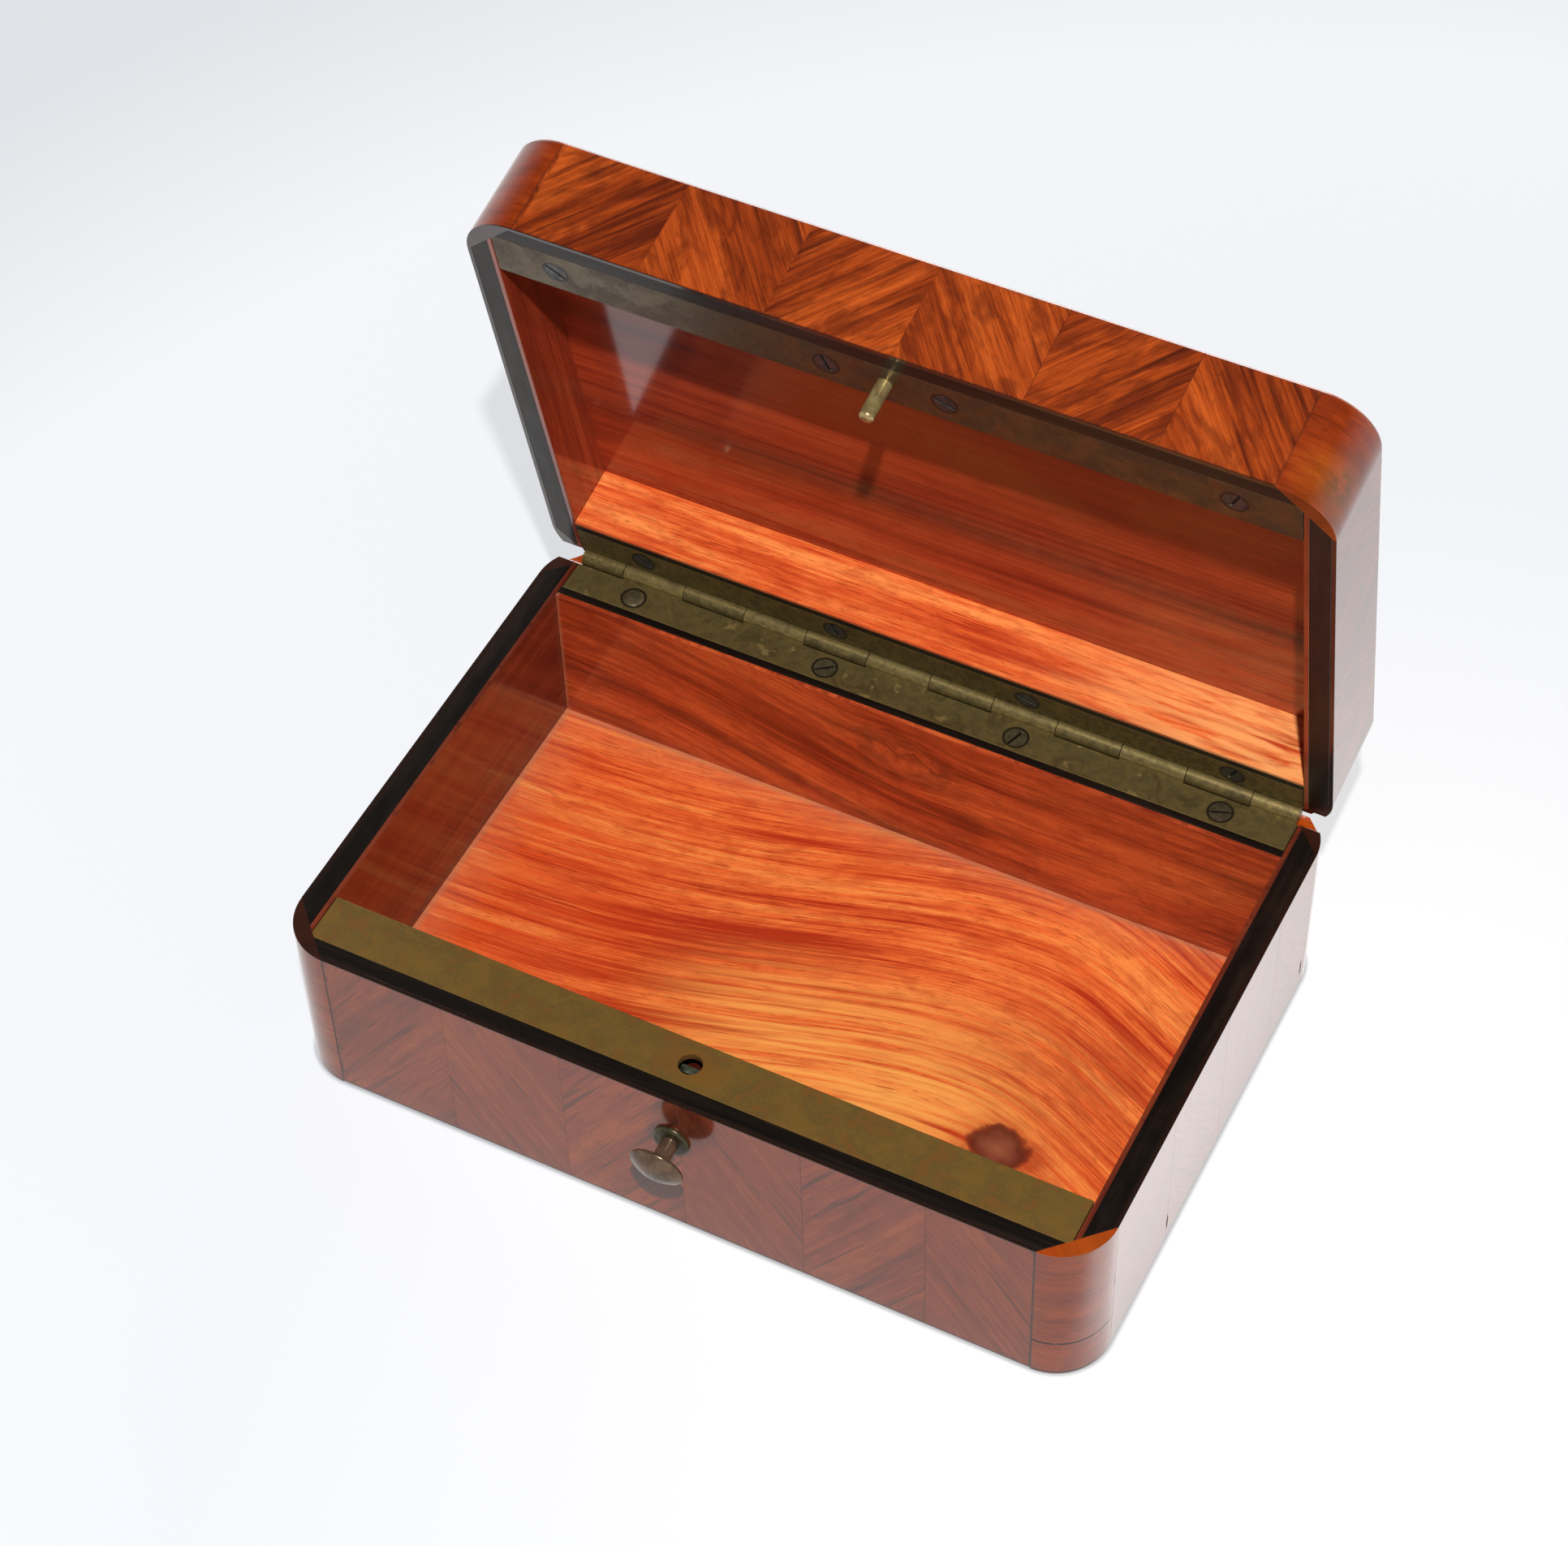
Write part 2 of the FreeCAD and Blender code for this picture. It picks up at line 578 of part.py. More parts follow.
def knob_nodes():
    """The nodes that slide with the knob."""
    return {"knob": knob(), "knob_stop_collar": stop_collar()}


def top_veneer(envelope):
    """The veneer of the lid's top: two rows of panels that meet on the middle line."""
    panels = []
    for x0, x1 in length_panels():
        for y0, y1 in ((-HALF_Y, 0), (0, HALF_Y)):
            panels.append(box(x0, x1, y0, y1, LID_TOP - VENEER, LID_TOP).common(envelope))
    return group(panels)


def lid_nodes():
    """The nodes of the lid, catch and upper hinge leaf, with the lid shut."""
    walls = carcass(LID)
    skins = veneers(LID)
    boards = linings(LID)
    envelope = lid_envelope()
    knuckles = knuckle_spans()
    leaf = hinge_leaf(LID, knuckles[0::2], knuckles[1::2])
    pin = catch_pin()
    plate = rim_plate(LID).cut(pin)
    screws = []
    for places, wall in ((leaf_screw_places(), "back"), (catch_screw_places(), "front")):
        for (x, y), turn in zip(places, SLOT_TURNS):
            blank = screw_blank(x, y, LID)
            walls[wall] = walls[wall].cut(blank)
            leaf = leaf.cut(blank)
            plate = plate.cut(blank)
            screws.append(slotted(blank, x, y, LID, turn))
    edge = LID_TOP - VENEER
    board = box(VENEER - HALF_X, HALF_X - VENEER, VENEER - HALF_Y, HALF_Y - VENEER, LID.board, edge)
    nodes = {
        "lid_top_board": board.common(core(LID.board, edge)),
        "lid_top_veneer": top_veneer(envelope),
        "lid_roof_panel": boards.pop("panel"),
        "catch_plate": plate,
        "catch_pin": pin,
        "hinge_lid_leaf": leaf,
        "lid_screws": group(screws),
    }
    nodes.update(named("lid_", walls, "_wall"))
    nodes.update({"lid_corner_" + place: piece.common(envelope) for place, piece in corner_pieces(LID).items()})
    for side, panels in skins.items():
        nodes["lid_" + side + "_veneer"] = group([panel.common(envelope) for panel in panels])
    nodes.update(named("lid_", ebony(LID), "_ebony"))
    nodes.update(named("lid_", boards, "_lining"))
    return nodes


def main():
    """Builds every node and writes one file for each."""
    nodes = base_nodes()
    nodes.update(knob_nodes())
    for name, shape in lid_nodes().items():
        shape.rotate(Vec(0, HINGE_Y, HINGE_Z), Vec(1, 0, 0), -OPEN_ANGLE)
        nodes[name] = shape
    os.makedirs("parts", exist_ok=True)
    for name, shape in nodes.items():
        group([shape]).exportStep("parts/" + name + ".step")
    print(len(nodes), "nodes,", sum(len(shape.Solids) for shape in nodes.values()), "solids")


main()
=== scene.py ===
"""Dresses the veneered puzzle box: polished woods, aged brass, and the pale studio it stands in."""

import json
import logging
import math
from dataclasses import dataclass
from enum import Enum

import bpy
from mathutils import Euler, Matrix, Vector

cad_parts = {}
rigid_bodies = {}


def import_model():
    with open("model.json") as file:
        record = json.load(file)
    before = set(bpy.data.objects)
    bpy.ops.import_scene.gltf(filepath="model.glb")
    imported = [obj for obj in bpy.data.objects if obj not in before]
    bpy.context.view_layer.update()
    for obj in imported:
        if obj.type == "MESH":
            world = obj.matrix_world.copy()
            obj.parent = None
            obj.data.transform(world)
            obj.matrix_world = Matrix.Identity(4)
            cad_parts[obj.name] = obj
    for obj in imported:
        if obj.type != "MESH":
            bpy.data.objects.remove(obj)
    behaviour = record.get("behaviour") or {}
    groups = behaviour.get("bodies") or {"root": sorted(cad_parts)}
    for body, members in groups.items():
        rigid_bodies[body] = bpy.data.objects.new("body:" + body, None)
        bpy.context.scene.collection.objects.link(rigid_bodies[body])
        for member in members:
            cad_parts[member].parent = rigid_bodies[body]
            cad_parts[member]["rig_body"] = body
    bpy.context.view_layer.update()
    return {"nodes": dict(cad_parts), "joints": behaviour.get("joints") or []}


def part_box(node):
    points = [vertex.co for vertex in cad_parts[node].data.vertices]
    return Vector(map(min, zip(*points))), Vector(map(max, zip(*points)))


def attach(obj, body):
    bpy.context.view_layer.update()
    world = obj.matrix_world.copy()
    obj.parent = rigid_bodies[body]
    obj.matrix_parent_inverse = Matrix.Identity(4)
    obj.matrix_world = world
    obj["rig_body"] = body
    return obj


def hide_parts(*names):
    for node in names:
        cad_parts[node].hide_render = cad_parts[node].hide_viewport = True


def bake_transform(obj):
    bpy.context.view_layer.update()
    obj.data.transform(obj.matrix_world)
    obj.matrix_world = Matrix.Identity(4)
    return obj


LOG = logging.getLogger("puzzle_box")
MM = 0.001
PER_METRE = 1000.0

Colour = tuple[float, float, float]
Span = tuple[float, float]
Socket = bpy.types.NodeSocket
Value = float | Socket
Piece = bpy.types.Object


class Body(Enum):
    """The three bodies of the box that move apart."""

    BASE = "base"
    LID = "lid"
    KNOB = "knob"


class Slot(Enum):
    """The record's material slots."""

    KINGWOOD = "kingwood"
    EBONY = "ebony"
    ROSEWOOD = "rosewood"
    BRASS = "brass"
    SCREW_METAL = "screw_metal"
    SPRING_STEEL = "spring_steel"


class Flow(Enum):
    """How the grain runs over a piece."""

    CHEVRON_FRONT = "diagonal panels along the length"
    CHEVRON_SIDE = "diagonal panels along the depth"
    CHEVRON_TOP = "two rows of diagonal panels that meet at the middle"
    CORNER = "level grain round a corner"
    LENGTH = "straight grain along the length"
    PALING = "straight grain along the length, pale at the right"
    DEPTH = "straight grain along the depth"
    ROUND_KNOT = "grain that rises over a knot"
    ROUND_EYE = "slanting grain round an eye"


class Side(Enum):
    """The four walls of a half of the box."""

    FRONT = "front"
    BACK = "back"
    LEFT = "left"
    RIGHT = "right"


@dataclass(frozen=True)
class Place:
    """Where a half of the box was when its grain was laid: the lid's is worked out for the lid shut."""

    turn: float = 0.0
    shift: Colour = (0.0, 0.0, 0.0)

    def points(self, mesh: bpy.types.Mesh) -> list[Vector]:
        """Gives a mesh's vertices with the box shut, in millimetres."""
        turn = Euler((self.turn, 0.0, 0.0)).to_matrix()
        return [turn @ (vertex.co * PER_METRE) + Vector(self.shift) for vertex in mesh.vertices]


def shut_place(joint: dict) -> Place:
    """Finds how the lid turns from open to shut.

    Args:
        joint: The lid hinge's row of the record.

    Returns:
        The turn and shift that shut the lid.
    """
    turn = math.radians(joint["range_deg"][0]) * joint["axis"][0]
    pivot = Vector(joint["pos_m"]) * PER_METRE
    shift = pivot - Euler((turn, 0.0, 0.0)).to_matrix() @ pivot
    return Place(turn, tuple(shift))


@dataclass(frozen=True)
class Polish:
    """The clear French polish over a wood."""

    gloss: float = 0.1
    index: float = 1.55
    weight: float = 1.0
    ripple: float = 0.004
    ripple_length: float = 9.0


@dataclass(frozen=True)
class WoodFinish:
    """Colours and figure of a polished wood, lengths in millimetres."""

    name: str
    dark: Colour
    body: Colour
    pale: Colour
    stripe: float
    run: float = 60.0
    pores: float = 0.4
    panel_tone: float = 0.0
    streaks: float = 0.0
    mottle: float = 0.0
    contrast: float = 1.0
    polish: Polish = Polish()


@dataclass(frozen=True)
class BrassFinish:
    """Aged brass: metal colour, patina and stains."""

    name: str
    bright: Colour
    patina: Colour
    stain: Colour
    roughness: float
    cloud: float = 5.0
    metallic: float = 0.6
    flecks: float = 0.0


KINGWOOD = WoodFinish(
    "kingwood", (0.11, 0.012, 0.001), (0.34, 0.046, 0.004), (0.58, 0.1, 0.012),
    stripe=3.0, run=40.0, panel_tone=0.1, streaks=0.6, mottle=0.6)
FADED_KINGWOOD = WoodFinish(
    "faded_kingwood", (0.2, 0.026, 0.006), (0.41, 0.064, 0.013), (0.58, 0.115, 0.024),
    stripe=2.4, run=40.0, panel_tone=0.2, contrast=0.8, streaks=0.75, mottle=0.35)
CORNER_WOOD = WoodFinish(
    "corner_kingwood", (0.15, 0.016, 0.001), (0.29, 0.033, 0.002), (0.42, 0.064, 0.005),
    stripe=2.4, run=26.0, pores=0.5, mottle=0.5, contrast=0.75)
FADED_CORNER = WoodFinish(
    "faded_corner", (0.22, 0.026, 0.002), (0.44, 0.06, 0.003), (0.58, 0.105, 0.006),
    stripe=2.4, run=26.0, pores=0.5, mottle=0.45, contrast=0.75)
FLOOR_WOOD = WoodFinish(
    "floor_rosewood", (0.46, 0.032, 0.007), (0.86, 0.15, 0.03), (0.98, 0.29, 0.064),
    stripe=3.0, pores=0.5, mottle=0.36, contrast=1.2)
ROOF_WOOD = WoodFinish(
    "roof_rosewood", (0.2, 0.016, 0.005), (0.41, 0.044, 0.013), (0.56, 0.08, 0.021),
    stripe=2.6, run=80.0, mottle=0.25)
BACK_WOOD = WoodFinish(
    "back_rosewood", (0.18, 0.017, 0.004), (0.45, 0.058, 0.013), (0.66, 0.12, 0.027),
    stripe=2.8, run=46.0, pores=0.45, mottle=0.4)
LINING_WOOD = WoodFinish(
    "lining_rosewood", (0.07, 0.008, 0.003), (0.135, 0.019, 0.007), (0.2, 0.035, 0.012), stripe=2.2)
LID_LINING_WOOD = WoodFinish(
    "lid_lining_rosewood", (0.15, 0.015, 0.005), (0.28, 0.036, 0.011), (0.4, 0.065, 0.02), stripe=2.2)
LID_BACK_WOOD = WoodFinish(
    "lid_back_rosewood", (0.44, 0.036, 0.007), (0.76, 0.12, 0.024), (0.95, 0.29, 0.07),
    stripe=2.8, run=34.0, pores=0.55, mottle=0.35)
EBONY = WoodFinish(
    "ebony", (0.003, 0.002, 0.0015), (0.007, 0.0045, 0.003), (0.018, 0.01, 0.006),
    stripe=0.9, run=30.0, pores=0.3, polish=Polish(gloss=0.2, index=1.5, weight=0.35))
CARCASS = WoodFinish(
    "carcass_pine", (0.3, 0.16, 0.07), (0.45, 0.27, 0.13), (0.55, 0.35, 0.18),
    stripe=2.0, pores=0.25, polish=Polish(gloss=0.5, weight=0.0))
PLATE_BRASS = BrassFinish(
    "plate_brass", (0.265, 0.146, 0.031), (0.155, 0.098, 0.021), (0.3, 0.1, 0.016), 0.38, metallic=0.45)
CATCH_BRASS = BrassFinish(
    "catch_brass", (0.115, 0.08, 0.04), (0.06, 0.04, 0.02), (0.07, 0.03, 0.011), 0.28, cloud=6.0)
HINGE_BRASS = BrassFinish(
    "hinge_brass", (0.215, 0.155, 0.052), (0.125, 0.093, 0.031), (0.05, 0.032, 0.012), 0.42,
    cloud=1.6, metallic=0.66, flecks=0.7)
# A darker copy of the hinge brass for the lid's leaf: painted shade, as that leaf faces away from the light.
SHADED_HINGE_BRASS = BrassFinish(
    "shaded_hinge_brass", (0.17, 0.122, 0.041), (0.09, 0.067, 0.022), (0.04, 0.026, 0.01), 0.42,
    cloud=1.6, metallic=0.66)
BUSH_BRASS = BrassFinish(
    "bush_brass", (0.085, 0.07, 0.032), (0.04, 0.034, 0.016), (0.03, 0.02, 0.01), 0.3, cloud=2.0)
KNOB_BRASS = BrassFinish(
    "knob_brass", (0.2, 0.12, 0.075), (0.11, 0.066, 0.038), (0.09, 0.045, 0.022), 0.16, cloud=2.5)
PIN_BRASS = BrassFinish(
    "pin_brass", (0.55, 0.41, 0.17), (0.3, 0.21, 0.085), (0.14, 0.09, 0.04), 0.2, cloud=2.5)
SCREW_METAL = BrassFinish(
    "screw_metal", (0.24, 0.2, 0.11), (0.11, 0.09, 0.045), (0.06, 0.04, 0.025), 0.3,
    cloud=1.5, metallic=0.75)
DARK_SCREW = BrassFinish(
    "dark_screw", (0.08, 0.08, 0.08), (0.038, 0.038, 0.038), (0.03, 0.025, 0.02), 0.3,
    cloud=1.5, metallic=0.7)
SPRING_STEEL = BrassFinish(
    "spring_steel", (0.12, 0.13, 0.09), (0.05, 0.058, 0.038), (0.08, 0.05, 0.025), 0.4, cloud=3.0)


@dataclass(frozen=True)
class Spot:
    """A soft round spot: its middle and reach along each axis that counts, in millimetres.

    It is full up to inner reaches from its middle, has ended at outer reaches, and its strength is share.
    """

    x: Span | None = None
    y: Span | None = None
    z: Span | None = None
    inner: float = 0.1
    outer: float = 1.1
    share: float = 1.0


@dataclass(frozen=True)
class Knot:
    """The knot in the floor panel and the crest of the grain over it, in millimetres."""

    x: float = 46.0
    y: float = -17.6
    length: float = 5.6
    width: float = 4.6
    lift: float = 20.0
    crest: float = 36.0
    left_reach: float = 56.0
    right_reach: float = 36.0
    shades: tuple[tuple[float, Colour], ...] = (
        (0.0, (0.29, 0.085, 0.042)),
        (0.26, (0.18, 0.045, 0.024)),
        (0.4, (0.1, 0.018, 0.009)),
        (0.5, (0.2, 0.025, 0.009)),
    )


@dataclass(frozen=True)
class Eye:
    """The eye in the back lining's figure, in millimetres."""

    x: float = 0.0
    z: float = 27.0
    length: float = 11.0
    height: float = 7.0
    drop: float = 13.0
    drop_start: float = -70.0
    drop_end: float = 10.0


@dataclass(frozen=True)
class Chevron:
    """How the diagonal panels are laid out, in millimetres and degrees."""

    seam: float = -45.2
    side_seam: float = -19.7
    width: float = 23.6
    base_angle: float = 56.0
    lid_angle: float = 50.0


KNOT = Knot()
EYE = Eye()
CHEVRON = Chevron()
GRAIN_LAYERS = ((3.0, 1.5, 0.34), (1.0, 1.1, 0.26), (0.34, 0.7, 0.2), (0.1, 0.22, 0.2))
PORE_SIZES = ((6.5, 0.42, 0.62), (2.2, 0.2, 0.6))
TONE_SPREAD = 0.09
RIM_LEVEL = 37.55
RIM_HALF = 0.5
CORNER_SEAM = 69.4
PATCH_SEAM = 9.7
SCREW_RIM = 2.15
DUST = (0.45, 0.19, 0.1)
SEAM_BROWN = (0.035, 0.01, 0.004)
# Grime and painted shade in the gap round the screw heads.
SCREW_GRIME_AND_SHADE = (0.012, 0.009, 0.006)
# Painted shade in the screw slots.
SLOT_PAINTED_SHADE = (0.008, 0.008, 0.008)
DENT_SIZE = (0.45, 2.6)
DENT_PLACES = ((-19.6, 5.5), (-44.2, 20.5), (42.6, 5.5))
# Painted shadow of the knob above it; grime with painted shade round the knob's bush.
KNOB_SHADE = Spot((3.2, 6.0), (-54.5, 20.0), (33.0, 7.0), 0.5, 1.3, 0.6)
BUSH_GRIME_AND_SHADE = Spot((0.2, 4.6), (-54.5, 20.0), (26.0, 4.8), 0.6, 1.2, 0.75)
LID_STAIN = Spot((77.5, 4.0), (-49.0, 6.0), (44.0, 6.5), 0.1, 1.0, 0.75)
LID_YELLOW = Spot((77.0, 9.0), (-50.0, 9.0), (43.0, 9.0), 0.2, 1.1, 0.3)
EYE_HEART = Spot(x=(EYE.x, EYE.length), z=(EYE.z, EYE.height), inner=0.2, outer=1.6)
EYE_BLOT = Spot(x=(13.0, 5.0), z=(14.0, 6.5), share=0.45)
FLOOR_WARM = Spot(x=(14.0, 46.0), y=(-12.0, 22.0), inner=0.2, outer=1.15)
FLOOR_RED = Spot(x=(-66.0, 34.0), y=(-10.0, 50.0), inner=0.3, outer=1.3, share=0.6)
FLOOR_DULL = Spot(x=(51.0, 26.0), y=(2.0, 19.0), outer=1.2, share=0.55)
KNOT_SIDE = Spot(x=(KNOT.x + 6.0, 5.0), y=(KNOT.y, 4.5), inner=0.3, share=0.75)


class Graph:
    """Builds the shader nodes of one node tree."""

    def __init__(self, tree: bpy.types.NodeTree) -> None:
        """Starts with an empty tree."""
        self.tree = tree
        tree.nodes.clear()

    def feed(self, socket: Socket, value: object) -> None:
        """Links a socket or sets it.

        Args:
            socket: The input socket.
            value: An output socket, or a plain value.
        """
        if isinstance(value, bpy.types.NodeSocket):
            self.tree.links.new(value, socket)
        elif socket.type == "RGBA" and len(value) == 3:
            socket.default_value = (*value, 1.0)
        else:
            socket.default_value = value

    def node(self, kind: str, inputs: dict, **settings: object) -> bpy.types.Node:
        """Adds a node.

        Args:
            kind: Blender's name of the node type.
            inputs: Values or sockets by input name or index.
            settings: Properties of the node itself.

        Returns:
            The new node.
        """
        made = self.tree.nodes.new(kind)
        for key, value in settings.items():
            setattr(made, key, value)
        for key, value in inputs.items():
            self.feed(made.inputs[key], value)
        return made

    def math(self, operation: str, first: Value, second: Value = 0.0, third: Value = 0.0) -> Socket:
        """Works out a number from up to three others, by Blender's name of the operation."""
        made = self.node("ShaderNodeMath", {0: first, 1: second, 2: third}, operation=operation)
        return made.outputs[0]

    def scaled(self, value: Value, factor: float, offset: float = 0.0) -> Socket:
        """Gives value times factor plus offset."""
        return self.math("MULTIPLY_ADD", value, factor, offset)

    def size(self, value: Value) -> Socket:
        """Gives a number without its sign."""
        return self.math("ABSOLUTE", value)

    def vector(self, x: Value, y: Value, z: Value) -> Socket:
        """Joins three numbers to a vector."""
        return self.node("ShaderNodeCombineXYZ", {0: x, 1: y, 2: z}).outputs[0]

    def noise(self, vector: Socket, scale: float = 1.0, detail: float = 2.0, warp: float = 0.0) -> Socket:
        """Samples noise about 0.5: scale is cells per unit, detail adds finer layers, warp bends it."""
        inputs = {"Vector": vector, "Scale": scale, "Detail": detail, "Distortion": warp}
        return self.node("ShaderNodeTexNoise", inputs).outputs[0]

    def chance(self, value: Value) -> Socket:
        """Gives a fixed random number from 0 to 1 for each whole number."""
        return self.node("ShaderNodeTexWhiteNoise", {"W": value}, noise_dimensions="1D").outputs[0]

    def rise(self, value: Value, low: float, high: float) -> Socket:
        """Goes smoothly from 0 at low to 1 at high."""
        inputs = {"Value": value, "From Min": low, "From Max": high}
        return self.node("ShaderNodeMapRange", inputs, interpolation_type="SMOOTHSTEP").outputs[0]

    def fall(self, value: Value, low: float, high: float) -> Socket:
        """Goes smoothly from 1 at low to 0 at high."""
        return self.math("SUBTRACT", 1.0, self.rise(value, low, high))

    def mix(self, factor: Value, first: object, second: object) -> Socket:
        """Mixes two colours, the second with the given share."""
        inputs = {0: factor, 6: first, 7: second}
        return self.node("ShaderNodeMix", inputs, data_type="RGBA").outputs[2]

    def ramp(self, value: Value, stops: list[tuple[float, Colour]]) -> Socket:
        """Turns a number into a colour.

        Args:
            value: The number.
            stops: Places from 0 to 1 and their colours.

        Returns:
            The colour.
        """
        made = self.node("ShaderNodeValToRGB", {0: value})
        elements = made.color_ramp.elements
        while len(elements) < len(stops):
            elements.new(0.5)
        for element, (place, colour) in zip(elements, stops):
            element.position = place
            element.color = (*colour, 1.0)
        return made.outputs[0]

    def reach(self, pairs: list[tuple[Value, float, float]]) -> Socket:
        """Measures a scaled distance from a point.

        Args:
            pairs: A coordinate, the point's place on it and the length that counts as 1.

        Returns:
            The distance, 1 at the given lengths.
        """
        total: Value = 0.0
        for value, place, length in pairs:
            step = self.scaled(value, 1 / length, -place / length)
            total = self.math("MULTIPLY_ADD", step, step, total)
        return self.math("SQRT", total)

    def line(self, value: Value, place: float, half: float, share: float = 1.0) -> Socket:
        """Makes a thin line where a coordinate is near a place, half is half its width."""
        away = self.size(self.scaled(value, 1.0, -place))
        return self.scaled(self.fall(away, 0.4 * half, 1.4 * half), share)

    def most(self, *values: Value) -> Socket:
        """Gives the largest of several numbers."""
        largest = values[0]
        for value in values[1:]:
            largest = self.math("MAXIMUM", largest, value)
        return largest

    def product(self, *values: Value) -> Socket:
        """Multiplies several numbers."""
        result = values[0]
        for value in values[1:]:
            result = self.math("MULTIPLY", result, value)
        return result

    def bump(self, height: Value, depth: float, below: Socket | None = None) -> Socket:
        """Turns a height into a normal.

        Args:
            height: Height from 0 to 1.
            depth: What a height of 1 stands for, in millimetres.
            below: A normal to add this one to.

        Returns:
            The normal.
        """
        made = self.node("ShaderNodeBump", {"Height": height, "Distance": depth * MM})
        if below is not None:
            self.feed(made.inputs["Normal"], below)
        return made.outputs[0]

    def blend(self, share: Value, first: Socket, second: Socket) -> Socket:
        """Mixes two shaders, the second with the given share."""
        return self.node("ShaderNodeMixShader", {0: share, 1: first, 2: second}).outputs[0]

    def close(self, shader: Socket, output: str = "ShaderNodeOutputMaterial") -> None:
        """Ends the tree with a shader."""
        self.node(output, {0: shader})


class Surface(Graph):
    """A material with the coordinates of its surface, in millimetres with the box shut, and its colour."""

    def __init__(self, name: str, place: Place) -> None:
        """Starts the material.

        Args:
            name: The material's name.
            place: The half of the box that it is on.
        """
        self.material = bpy.data.materials.new(name)
        self.material.use_nodes = True
        super().__init__(self.material.node_tree)
        inputs = {
            "Vector": self.node("ShaderNodeTexCoord", {}).outputs["Object"],
            "Location": place.shift,
            "Rotation": (place.turn, 0.0, 0.0),
            "Scale": (PER_METRE, PER_METRE, PER_METRE),
        }
        self.here = self.node("ShaderNodeMapping", inputs).outputs[0]
        self.x, self.y, self.z = self.node("ShaderNodeSeparateXYZ", {0: self.here}).outputs
        self.colour: object = (1.0, 1.0, 1.0)

    def tint(self, share: Value, colour: object) -> None:
        """Mixes a share of another colour into the surface's."""
        self.colour = self.mix(share, self.colour, colour)

    def spot(self, spot: Spot) -> Socket:
        """Makes a soft round spot.

        Args:
            spot: Where it is, how far it reaches and how strong it is.

        Returns:
            The strength from 0 to the spot's share.
        """
        axes = ((self.x, spot.x), (self.y, spot.y), (self.z, spot.z))
        away = self.reach([(value, *span) for value, span in axes if span is not None])
        return self.scaled(self.fall(away, spot.inner, spot.outer), spot.share)


def times(colour: Colour, factor: float) -> Colour:
    """Gives a colour made lighter or darker."""
    return tuple(factor * part for part in colour)


